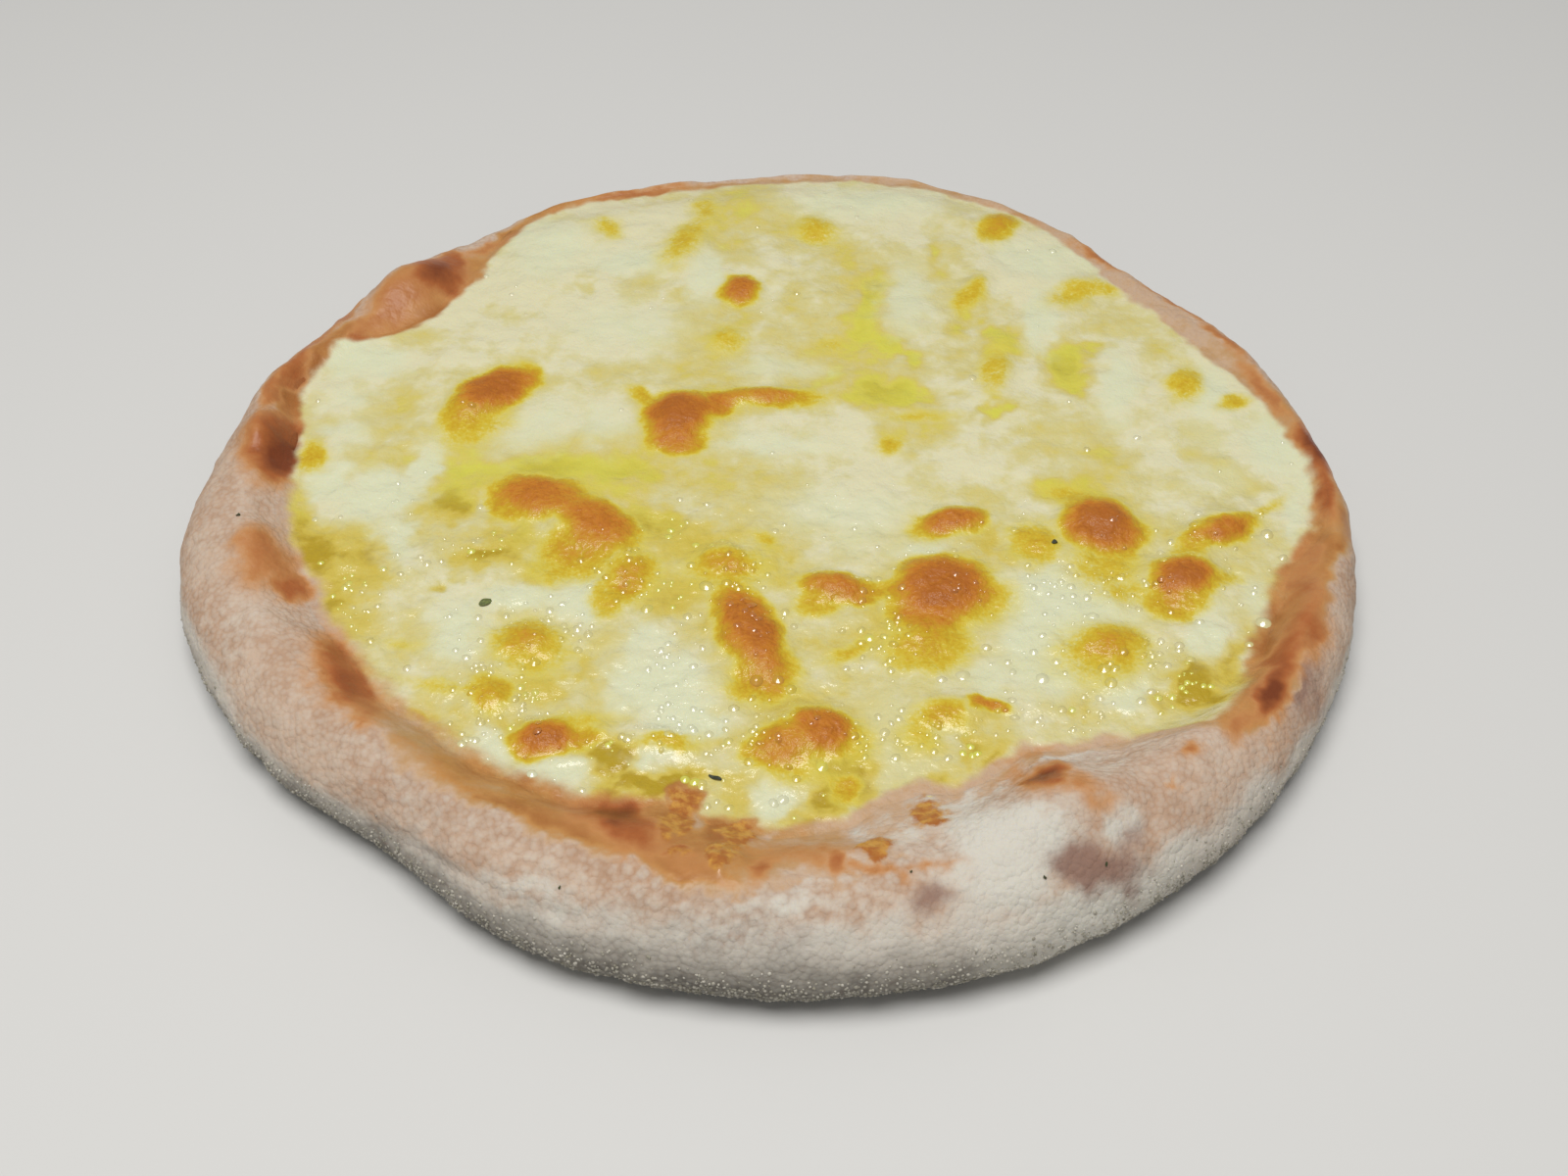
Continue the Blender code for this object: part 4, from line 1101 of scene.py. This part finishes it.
# ---- Settings ------------------------------------------------------------------------------------------
def colour(name, description, value):
    return FloatVectorProperty(name=name, description=description, subtype="COLOR", size=3, min=0, max=1,
                               default=value)


def length(name, description, value, low=0.0, high=0.05):
    return FloatProperty(name=name, description=description, subtype="DISTANCE", unit="LENGTH",
                         min=low, max=high, default=value, precision=5)


class SfihaDoughSettings(bpy.types.PropertyGroup):
    """Relief and colours of the baked dough."""
    lump_rise: length("Lump rise", "Height of the crust's lumps", 0.26 * MM)
    pebble_rise: length("Pebble rise", "Height of the pebbles beside the toasted band", 0.21 * MM)
    drip_rise: length("Drip rise", "Height of the cheese that dripped on the rim", 0.45 * MM)
    crease_depth: length("Crease depth", "Depth of the fold along the front left of the rim", 0.28 * MM)
    crust_pale: colour("Pale crust", "Lighter patches of the crust", (0.57, 0.425, 0.32))
    crust_deep: colour("Deep crust", "Darker patches of the crust", (0.48, 0.315, 0.215))
    # The colour between the pebbles is painted shade.
    groove_shade: colour("Crevice", "Between the pebbles", (0.36, 0.225, 0.145))
    cream: colour("Cream crust", "Crust under a little flour", (0.61, 0.555, 0.48))
    # The darkest colour at the foot of the rim is painted shade over the flour.
    dust_and_foot_shade: colour("Dust", "Darker flour at the foot", (0.172, 0.156, 0.134))
    flour: colour("Flour", "Flour on the rim", (0.64, 0.61, 0.535))
    bruise: colour("Bruise", "Purple-brown marks", (0.265, 0.15, 0.112))
    peach: colour("Peach", "Barely toasted dough", (0.55, 0.38, 0.25))
    tan: colour("Tan", "Lightly toasted dough", (0.50, 0.30, 0.14))
    gold: colour("Gold", "Oily toasted dough", (0.51, 0.25, 0.075))
    toast: colour("Toast", "Well toasted dough", (0.36, 0.135, 0.032))
    toast_pale: colour("Pale scorch", "Edge of a scorched place", (0.54, 0.25, 0.085))
    scorch: colour("Scorch", "Scorched dough", (0.39, 0.12, 0.032))
    char: colour("Char", "Darkest marks", (0.19, 0.045, 0.012))
    drip: colour("Drip", "Browned cheese of the drips", (0.40, 0.13, 0.018))
    drip_gold: colour("Golden drip", "Oily cheese of the drips", (0.60, 0.30, 0.05))


class SfihaCheeseSettings(bpy.types.PropertyGroup):
    """Relief and colours of the melted cheese."""
    wrinkle_rise: length("Wrinkle rise", "Height of the wrinkles on browned blisters", 0.16 * MM)
    lump_rise: length("Lump rise", "Height of the cheese's own little lumps", 0.22 * MM)
    curd: colour("Curd", "White curd", (0.69, 0.71, 0.49))
    cream: colour("Cream", "Pale melted cheese", (0.72, 0.685, 0.45))
    cream_deep: colour("Deep cream", "Yellower melted cheese", (0.65, 0.59, 0.27))
    oil_pale: colour("Pale oil", "A thin film of oil", (0.64, 0.535, 0.14))
    oil: colour("Oil", "Oil in hollows at the front", (0.61, 0.48, 0.075))
    oil_deep: colour("Deep oil", "The deepest oil", (0.45, 0.315, 0.014))
    oil_green: colour("Green oil", "Oil in hollows at the back", (0.66, 0.64, 0.085))
    halo: colour("Halo", "Round a browned place", (0.67, 0.57, 0.085))
    gold_edge: colour("Gold edge", "Edge of a browned place", (0.62, 0.45, 0.024))
    gold: colour("Gold", "Lightly browned cheese", (0.56, 0.34, 0.009))
    orange: colour("Orange", "Cheese on its way to brown", (0.57, 0.27, 0.016))
    brown: colour("Brown", "Browned cheese", (0.53, 0.185, 0.012))
    brown_deep: colour("Deep brown", "Darkest freckles", (0.42, 0.125, 0.010))


class SfihaScatterSettings(bpy.types.PropertyGroup):
    """Numbers and colours of the small things."""
    grains: IntProperty(name="Grains", description="Grains of semolina round the foot of the rim",
                        default=9000, min=0, max=9000)
    beads: IntProperty(name="Beads", description="Beads of fat on the cheese", default=800, min=0, max=2200)
    grain_pale: colour("Pale grain", "Lighter grains", (0.60, 0.57, 0.50))
    grain_deep: colour("Deep grain", "Darker grains", (0.28, 0.26, 0.20))
    herb: colour("Herb", "Dried herb", (0.20, 0.24, 0.06))
    herb_dark: colour("Dark herb", "Dark parts of the herb", (0.035, 0.04, 0.02))


class SfihaStageSettings(bpy.types.PropertyGroup):
    """Floor, lights and camera."""
    floor: colour("Floor", "Pale floor", (0.66, 0.66, 0.65))
    sky: FloatProperty(name="Sky", description="Strength of the even light from all round",
                       default=0.27, min=0, max=5)
    key_power: FloatProperty(name="Key", description="Soft main light", default=2.7, min=0,
                             subtype="POWER")
    camera_distance: length("Camera distance", "Distance of the camera from its target",
                            199.9 * MM, 0.05, 2.0)
    camera_elevation: FloatProperty(name="Camera elevation", description="Height of the view above the floor",
                                    subtype="ANGLE", unit="ROTATION", default=math.radians(44.8))
    lens: FloatProperty(name="Lens", description="Focal length in millimetres", default=40.5, min=10)


# ---- Pieces --------------------------------------------------------------------------------------------
class SFIHA_OT_dough(bpy.types.Operator):
    """Make the baked dough with its rim, bubbles, pebbles and marks"""
    bl_idname = "sfiha.dough"
    bl_label = "Dough"

    def execute(self, context):
        settings = context.scene.sfiha_dough
        rows = dough_row_shares()
        mesh = self.drum(len(rows) - 1)
        drum = points_of(mesh)
        row = np.rint(drum[:, 2]).astype(int)
        zone = np.array([name for name, _ in rows])[row]
        share = np.array([value for _, value in rows])[row]
        angle = np.arctan2(drum[:, 1], drum[:, 0])
        bearing = np.degrees(angle - FRONT_GATHER * np.cos(angle))
        set_points(mesh, self.lay_out(rows, row, bearing))
        layers = self.paint(mesh, zone, share, bearing)
        self.add_relief(mesh, zone, share, bearing, layers, settings)
        piece = placed("baked_dough", mesh, dough_material(settings))
        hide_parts("dough")
        return {"FINISHED"}

    def drum(self, last):
        """A closed drum whose rings stand one above the other, at heights 0 to last."""
        bm = bmesh.new()
        bmesh.ops.create_grid(bm, x_segments=DOUGH_SIDES, y_segments=last - 2, size=1.0)
        for vert in bm.verts:
            turn = math.pi * vert.co.x
            vert.co = (math.cos(turn), math.sin(turn), 1 + (vert.co.y + 1) / 2 * (last - 2))
        bmesh.ops.remove_doubles(bm, verts=bm.verts, dist=0.0001)
        for ring, middle in ((1, 0), (last - 1, last)):
            rim = [edge for edge in bm.edges
                   if edge.is_boundary and all(abs(vert.co.z - ring) < 0.5 for vert in edge.verts)]
            lid = bmesh.ops.contextual_create(bm, geom=rim)["faces"]
            hub = bmesh.ops.poke(bm, faces=lid)["verts"][0]
            hub.co = (0, 0, middle)
        bmesh.ops.recalc_face_normals(bm, faces=bm.faces)
        return mesh_from(bm, "baked_dough")

    def lay_out(self, rows, row, bearing):
        """The place of every vertex on the section at its bearing."""
        radius, height, freedom = (np.zeros_like(bearing) for _ in range(3))
        for number, (zone, share) in enumerate(rows):
            here = row == number
            radius[here], height[here], freedom[here] = dough_section(zone, share, bearing[here])
        x = radius * np.cos(np.radians(bearing))
        y = radius * np.sin(np.radians(bearing))
        free = freedom > 0
        rise, size = DOUGH_UNEVEN
        bumps = bubble_rise(x[free], y[free]) + rise * flat_noise(x[free], y[free], size, 3.0)
        height[free] += freedom[free] * bumps
        return np.stack([x, y, height], axis=1)

    def add_relief(self, mesh, zone, share, bearing, layers, settings):
        """Moves the vertices along their normals by lumps, pebbles and the crease, and dimples the foot."""
        points, normals = points_of(mesh), normals_of(mesh)
        shown = np.isin(zone, ("lower", "upper", "inner"))
        relief = np.zeros(len(points))
        relief[shown] = crust_relief(points[shown], layers["toast"][shown], layers["drip"][shown], settings)
        relief *= np.where(zone == "inner", 1 - 0.6 * share, 1.0)
        relief += settings.pebble_rise * layers["pebble"]
        outside = np.isin(zone, ("lower", "upper"))
        relief += np.where(outside, crease_relief(points, bearing, settings.crease_depth), 0)
        covered = cheese_reach(bearing) + OVERLAP - np.hypot(points[:, 0], points[:, 1])
        sunk = UNDER_CHEESE * smooth((covered - 0.7 * MM) / (1.0 * MM)) * np.isin(zone, ("inner", "bank"))
        foot = zone == "foot"
        dimples = np.zeros(len(points))
        dimples[foot] = DIMPLE_DEPTH * np.clip(noise_at(points[foot], 6 * MM, 2.2) + 0.1, 0, 1)
        moved = points + normals * relief[:, None]
        moved[:, 2] = np.maximum(0.0, moved[:, 2] - sunk + dimples * (share < 0.98))
        set_points(mesh, moved)

    def paint(self, mesh, zone, share, bearing):
        """Stores one number for each mark of the oven, the flour, the painted shade at the foot and the
        pebbles, and returns them.
        """
        points = points_of(mesh)
        x, y, z = points.T
        foot = (zone == "foot") & (share < 0.99)
        upper = ~np.isin(zone, ("lower", "foot"))
        layers = crust_layers(x, y, bearing)
        layers["bruise"] = marks_at(x, y, BRUISED, 0.9 * MM, 51.0)
        for name in ("toast", "scorch", "bruise", "drip"):
            layers[name] *= upper
        top = read_round(FLOUR_TOPS, bearing) + 0.12 * noise_at(points, 4 * MM, 42.0)
        layers["dust_and_foot_shade"] = smooth(0.5 + (top - z / rim_height(bearing)) / FLOUR_FADE)
        # Painted shade: the low layer darkens the flour from these heights down to the foot.
        dark_top = MM * read_round(FOOT_SHADE_TOPS, bearing)
        low = np.clip(1 - z / dark_top + 0.15 * noise_at(points, 3 * MM, 43.0), 0, 1)
        layers["low"] = low * ~foot * (zone != "floor")
        pebbled = pebbled_at(x, y, bearing) * upper
        near = pebbled > 0.02
        layers["pebble"] = np.zeros(len(points))
        layers["pebble"][near] = pebbled[near] * (domes_at(points[near], 1.5 * MM, 17.0) - 0.5)
        self.paint_foot(points, foot, layers)
        set_values(mesh, **layers)
        return layers

    def paint_foot(self, points, foot, layers):
        """Tan, floury bread with brown patches, where the dough lay on the stone."""
        below = points[foot]
        layers["scorch"][foot] = 0.7 * smooth(1.8 * noise_at(below, 9 * MM, 61.0))
        layers["dust_and_foot_shade"][foot] = np.clip(0.5 + 0.5 * noise_at(below, 5 * MM, 62.0), 0, 1)
        layers["toast"][foot] = 0.30 + 0.30 * noise_at(below, 14 * MM, 63.0)


class SFIHA_OT_cheese(bpy.types.Operator):
    """Make the sheet of melted cheese with its blisters, oil and curd"""
    bl_idname = "sfiha.cheese"
    bl_label = "Cheese"

    def execute(self, context):
        settings = context.scene.sfiha_cheese
        crust_settings = context.scene.sfiha_dough
        mesh = self.fan()
        ring = values_of(mesh, "ring")
        mesh.attributes.remove(mesh.attributes["ring"])
        share, bearing = self.rounded(points_of(mesh))
        points, layers = self.surface(share, bearing, settings, crust_settings)
        points[ring == 1, 2] -= CHEESE_EDGE
        base = ring == 2
        pulled = (cheese_reach(bearing[base]) - BASE_INSET) / np.hypot(points[base, 0], points[base, 1])
        points[base, :2] *= pulled[:, None]
        points[base, 2] = FLOOR_HEIGHT + FIT_GAP
        set_points(mesh, points)
        faces_outwards(mesh)
        set_values(mesh, **layers)
        piece = placed("melted_cheese", mesh, cheese_material(settings, crust_settings))
        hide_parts("cheese")
        return {"FINISHED"}

    def fan(self):
        """A hexagonal fan of even triangles, closed below by a skirt and a base.

        Its layer ring is 0 on the top, 1 at the foot of the skirt and 2 round the base.
        """
        bm = bmesh.new()
        corner_on_x = Matrix.Rotation(math.radians(30), 4, "Z")
        bmesh.ops.create_circle(
            bm, cap_ends=True, cap_tris=True, segments=6, radius=1.0, matrix=corner_on_x)
        bmesh.ops.subdivide_edges(bm, edges=bm.edges, cuts=CHEESE_RINGS - 1, use_grid_fill=True)
        ring = bm.verts.layers.float.new("ring")
        edges = [edge for edge in bm.edges if edge.is_boundary]
        for number in (1, 2):
            grown = bmesh.ops.extrude_edge_only(bm, edges=edges)["geom"]
            for vert in grown:
                if isinstance(vert, bmesh.types.BMVert):
                    vert[ring] = number
            edges = [edge for edge in grown if isinstance(edge, bmesh.types.BMEdge) and edge.is_boundary]
        bmesh.ops.contextual_create(bm, geom=edges)
        return mesh_from(bm, "melted_cheese")

    def rounded(self, flat):
        """Share of the way to the edge and bearing of each point of the hexagon, as a round."""
        sector, half = 60, 30
        angle = np.degrees(np.arctan2(flat[:, 1], flat[:, 0])) % 360
        side = np.floor(angle / sector)
        lean = np.radians(angle - sector * side - half)
        share = np.hypot(flat[:, 0], flat[:, 1]) * np.cos(lean) / math.cos(math.radians(half))
        bearing = sector * (side + 0.5 + np.tan(lean) / (2 * math.tan(math.radians(half))))
        return share, bearing

    def surface(self, share, bearing, settings, crust_settings):
        """Points of the top, and how brown, oily, curdy, wet and rim-like each one is."""
        reach = cheese_reach(bearing)
        radius = share * (reach + OVERLAP)
        x = radius * np.cos(np.radians(bearing))
        y = radius * np.sin(np.radians(bearing))
        inset = reach + OVERLAP - radius
        browning, oil, curd, wet = self.marks(x, y)
        rim = self.rim_share(x, y, radius, bearing)
        crust = crust_layers(x, y, bearing)
        layers = {
            "browning": browning * (1 - rim),
            "oil": oil * (1 - 0.75 * smooth(curd)),
            "curd": curd,
            "rim": np.maximum(rim, smooth(3 * crust["drip"])),
            "wet": wet,
            **crust,
        }
        relief = (
            settings.lump_rise * (
                flat_noise(x, y, 3.4 * MM, 14.0) + (0.35 + 0.4 * wet) * flat_noise(x, y, 1.7 * MM, 15.0))
            + settings.wrinkle_rise * self.wrinkles(x, y) * smooth((browning - 0.3) * 2)
            - OIL_SINK * smooth(oil)
            + CURD_RISE * curd
        )
        own = cheese_level(x, y, inset, bearing) + smooth(inset / (2.5 * MM)) * relief
        dough = dough_inner_height(x, y, radius, bearing, crust["toast"], crust["drip"], crust_settings)
        sheet = SHEET_RISE * smooth(inset / (1.2 * MM)) + SHEET_START
        blend = 0.01 * MM + 1.4 * MM * smooth(inset / (2.4 * MM))
        return np.stack([x, y, higher_of(own, dough + sheet, blend)], axis=1), layers

    def wrinkles(self, x, y):
        """Sharp little ridges, from -1 between them to 1 on their tops."""
        return 1 - 2 * np.abs(flat_noise(x, y, 1.3 * MM, 12.0))

    def marks(self, x, y):
        """How brown, oily, curdy and wet each point is, with oil all over and round the browned places."""
        browning = marks_at(x, y, BROWNED, 0.7 * MM, 71.0, crisp=True)
        oil = marks_at(x, y, OIL, 1.6 * MM, 81.0)
        curd = marks_at(x, y, CURD, 1.8 * MM, 91.0)
        everywhere = 0.10 + 0.26 * smooth((8 * MM - y) / (40 * MM)) + 0.34 * flat_noise(x, y, 7 * MM, 83.0)
        halos = [(*mark[:2], mark[2] * 1.5, mark[3] * 1.6, *mark[4:]) for mark in BROWNED if mark[5] > 0.4]
        glow = marks_at(x, y + 1.0 * MM, halos, 1.2 * MM, 82.0)
        oil = np.cbrt(np.clip(oil, 0, 1.4) ** 3 + np.clip(everywhere, 0, 1) ** 3 + (0.62 * glow) ** 3)
        wet = 0.25 + smooth((6 * MM - y) / (24 * MM)) + 0.4 * flat_noise(x, y, 8 * MM, 26.0)
        return browning, oil, curd, np.clip(wet, 0, 1)

    def rim_share(self, x, y, radius, bearing):
        """How far the cheese has given way to the crust, over a soft and wandering edge."""
        reach = cheese_reach(bearing)
        wander = 0.5 * MM * flat_noise(x, y, 1.5 * MM, 24.0) + 0.9 * MM * flat_noise(x, y, 4 * MM, 25.0)
        blend = MM * read_round(EDGE_BLENDS, bearing)
        rim = smooth(0.5 + (radius - reach + 0.2 * blend + wander) / blend)
        return np.maximum(rim, smooth(1.3 - (reach + OVERLAP - radius) / (0.8 * MM)))


class SFIHA_OT_grains(bpy.types.Operator):
    """Scatter grains of semolina round the foot of the rim"""
    bl_idname = "sfiha.grains"
    bl_label = "Grains"

    def execute(self, context):
        settings = context.scene.sfiha_scatter
        rng = np.random.default_rng(SEED)
        dough = bpy.data.objects["baked_dough"].data
        count = settings.grains
        places, normals, _ = scattered(dough, self.density, count, rng)
        sizes = rng.uniform(*GRAIN_SIZES, (count, 1)) * MM * rng.uniform(*GRAIN_STRETCH, (count, 3))
        places[:, 2] = np.maximum(places[:, 2], sizes.max(axis=1))
        turns = standing_on(normals, rng.uniform(0, 2 * math.pi, count))
        mesh, owner = joined_copies("semolina", round_shape(1), places, turns, sizes)
        set_values(mesh, shade=rng.uniform(0, 1, count)[owner])
        placed("semolina", mesh, grain_material(settings))
        return {"FINISHED"}

    def density(self, centres, _):
        """Grains low on the outside of the rim, and more of them in front."""
        x, y, z = centres.T
        bearing = np.degrees(np.arctan2(y, x))
        outside = np.hypot(x, y) > outer_reach(bearing) - 0.62 * rim_width(bearing) - 2 * MM
        front = smooth(-y / (50 * MM))
        low = smooth(1.15 - (z / rim_height(bearing)) / (0.40 + 0.22 * front))
        return np.where(outside & (z > 0.25 * MM), low * (1 + 1.6 * front), 0.0)


class SFIHA_OT_beads(bpy.types.Operator):
    """Scatter little beads of fat over the cheese"""
    bl_idname = "sfiha.beads"
    bl_label = "Beads"

    def execute(self, context):
        settings = context.scene.sfiha_scatter
        rng = np.random.default_rng(SEED + 1)
        cheese = bpy.data.objects["melted_cheese"].data
        places, normals, faces = scattered(cheese, self.density, settings.beads, rng)
        across = rng.gamma(*BEAD_SPREAD, (settings.beads, 1)).clip(*BEAD_LIMITS) * MM
        large = np.array(LARGE_BEADS) * MM
        centres = face_values(cheese, "center", 3)
        nearest = np.array([np.argmin(np.hypot(*(centres[:, :2] - spot[:2]).T)) for spot in large])
        places = np.concatenate([places, centres[nearest]])
        normals = np.concatenate([normals, face_values(cheese, "normal", 3)[nearest]])
        faces = np.concatenate([faces, nearest])
        grown = large[:, 2:] * rng.uniform(*LARGE_BEAD_GROWTH, (len(large), 1))
        across = np.concatenate([across, grown])
        count = len(places)
        sizes = across * rng.uniform(*BEAD_STRETCH, (count, 3))
        places -= normals * across * BEAD_SINK
        turns = standing_on(normals, rng.uniform(0, 2 * math.pi, count))
        mesh, owner = joined_copies("fat_beads", bead_shape(), places, turns, sizes)
        corner = [cheese.polygons[int(face)].vertices[0] for face in faces]
        for name in ("browning", "oil", "curd"):
            set_values(mesh, **{name: values_of(cheese, name)[corner][owner]})
        placed("fat_beads", mesh, bead_material(context.scene.sfiha_cheese))
        return {"FINISHED"}

    def density(self, centres, normals):
        """Beads in patches on the cheese, and far more of them in front."""
        x, y, _ = centres.T
        bearing = np.degrees(np.arctan2(y, x))
        inside = np.hypot(x, y) < cheese_reach(bearing) - 1.2 * MM
        front = 0.02 + smooth(-y / (24 * MM))
        patches = np.clip(0.3 + 2.2 * flat_noise(x, y, 7 * MM, 101.0), 0.02, 2)
        return np.where(inside & (normals[:, 2] > 0.3), front * patches, 0.0)


class SFIHA_OT_herbs(bpy.types.Operator):
    """Lay the flecks of dried herb"""
    bl_idname = "sfiha.herbs"
    bl_label = "Herbs"

    # The strength is how dark a fleck is.
    FLECKS = spots(
        (-6.0, -44.2, 1.4, 0.40, -25, 1.0),
        (30.3, -11.5, 0.7, 0.5, 20, 1.0),
        (-31.0, -20.6, 1.4, 0.9, 30, 0.15),
        (24.0, -58.4, 0.32, 0.22, 10, 0.8),
        (12.0, -58.2, 0.26, 0.2, 40, 0.7),
        (29.8, -56.6, 0.32, 0.22, 70, 0.8),
        (-19.5, -58.8, 0.24, 0.18, 0, 0.7),
        (-58.9, -10.0, 0.5, 0.35, 0, 0.8),
    )

    def execute(self, context):
        height_at = surface_finder([bpy.data.objects[name] for name in ("baked_dough", "melted_cheese")])
        bm = bmesh.new()
        shade = bm.verts.layers.float.new("shade")
        for number, (x, y, length, width, turn, dark) in enumerate(self.FLECKS):
            sheet = bmesh.ops.create_grid(bm, x_segments=8, y_segments=4, size=1.0)["verts"]
            turned = Matrix.Rotation(math.radians(turn), 3, "Z")
            for vert in sheet:
                u, v = vert.co.x, vert.co.y
                narrow = math.sqrt(max(0.05, 1 - 0.9 * u * u))
                flat = turned @ Vector((u * length / 2, v * narrow * width / 2, 0))
                px, py = x + flat.x, y + flat.y
                curl = FLECK_CURL[0] * math.sin(3 * u + number) + FLECK_CURL[1] * v * v
                vert.co = (px, py, height_at(px, py) + FLECK_LIFT + curl)
                vert[shade] = dark
            faces = list({face for vert in sheet for face in vert.link_faces})
            bmesh.ops.solidify(bm, geom=faces, thickness=FLECK_THICKNESS)
        bmesh.ops.recalc_face_normals(bm, faces=bm.faces)
        mesh = mesh_from(bm, "herb_flecks")
        placed("herb_flecks", mesh, herb_material(context.scene.sfiha_scatter))
        return {"FINISHED"}


class SFIHA_OT_stage(bpy.types.Operator):
    """Set up the floor, the soft lights and the camera"""
    bl_idname = "sfiha.stage"
    bl_label = "Stage"

    def execute(self, context):
        settings = context.scene.sfiha_stage
        bm = bmesh.new()
        bmesh.ops.create_grid(bm, x_segments=1, y_segments=1, size=FLOOR_SIZE)
        floor = bpy.data.objects.new("floor", mesh_from(bm, "floor"))
        floor.data.materials.append(floor_material(settings.floor))
        context.scene.collection.objects.link(floor)
        world = bpy.data.worlds.new("studio")
        world.use_nodes = True
        light = world.node_tree.nodes["Background"].inputs
        light["Color"].default_value = SKY_TINT
        light["Strength"].default_value = settings.sky
        context.scene.world = world
        self.key(context, settings)
        self.camera(context, settings)
        context.scene.view_settings.view_transform = "Standard"
        return {"FINISHED"}

    def key(self, context, settings):
        lamp = bpy.data.lights.new("key", "AREA")
        lamp.shape = "DISK"
        lamp.size = KEY_SIZE
        lamp.energy = settings.key_power
        lamp.color = KEY_TINT
        stand = bpy.data.objects.new("key", lamp)
        stand.location = KEY_PLACE
        stand.rotation_euler = (TARGET - Vector(KEY_PLACE)).to_track_quat("-Z", "Y").to_euler()
        context.scene.collection.objects.link(stand)

    def camera(self, context, settings):
        camera = bpy.data.cameras.new("camera")
        camera.lens = settings.lens
        camera.sensor_width = SENSOR_WIDTH
        camera.clip_start = NEAR_CLIP
        eye = bpy.data.objects.new("camera", camera)
        back = Vector((0, -math.cos(settings.camera_elevation), math.sin(settings.camera_elevation)))
        eye.location = TARGET + settings.camera_distance * back
        eye.rotation_euler = (math.pi / 2 - settings.camera_elevation, 0, 0)
        context.scene.collection.objects.link(eye)
        context.scene.camera = eye


class SFIHA_PT_panel(bpy.types.Panel):
    """Lists the pieces of the sfiha and their settings"""
    bl_idname = "SFIHA_PT_panel"
    bl_label = "Cheese Sfiha"
    bl_space_type = "VIEW_3D"
    bl_region_type = "UI"
    bl_category = "Sfiha"

    def draw(self, context):
        scene = context.scene
        for title, settings, operators in (
            ("Dough", scene.sfiha_dough, (SFIHA_OT_dough,)),
            ("Cheese", scene.sfiha_cheese, (SFIHA_OT_cheese,)),
            ("Small things", scene.sfiha_scatter, (SFIHA_OT_grains, SFIHA_OT_beads, SFIHA_OT_herbs)),
            ("Stage", scene.sfiha_stage, (SFIHA_OT_stage,)),
        ):
            box = self.layout.box()
            box.label(text=title)
            for name in settings.bl_rna.properties.keys():
                if name not in {"rna_type", "name"}:
                    box.prop(settings, name)
            for operator in operators:
                box.operator(operator.bl_idname)


SETTINGS = {
    "sfiha_dough": SfihaDoughSettings,
    "sfiha_cheese": SfihaCheeseSettings,
    "sfiha_scatter": SfihaScatterSettings,
    "sfiha_stage": SfihaStageSettings,
}
OPERATORS = (SFIHA_OT_dough, SFIHA_OT_cheese, SFIHA_OT_grains, SFIHA_OT_beads, SFIHA_OT_herbs, SFIHA_OT_stage)


def register():
    for kind in (*SETTINGS.values(), *OPERATORS, SFIHA_PT_panel):
        bpy.utils.register_class(kind)
    for name, kind in SETTINGS.items():
        setattr(bpy.types.Scene, name, PointerProperty(type=kind))


def unregister():
    for name in SETTINGS:
        delattr(bpy.types.Scene, name)
    for kind in (SFIHA_PT_panel, *reversed(OPERATORS), *SETTINGS.values()):
        bpy.utils.unregister_class(kind)


def main():
    register()
    bpy.ops.sfiha.dough()
    bpy.ops.sfiha.cheese()
    bpy.ops.sfiha.grains()
    bpy.ops.sfiha.beads()
    bpy.ops.sfiha.herbs()
    bpy.ops.sfiha.stage()


if __name__ == "__main__":
    main()
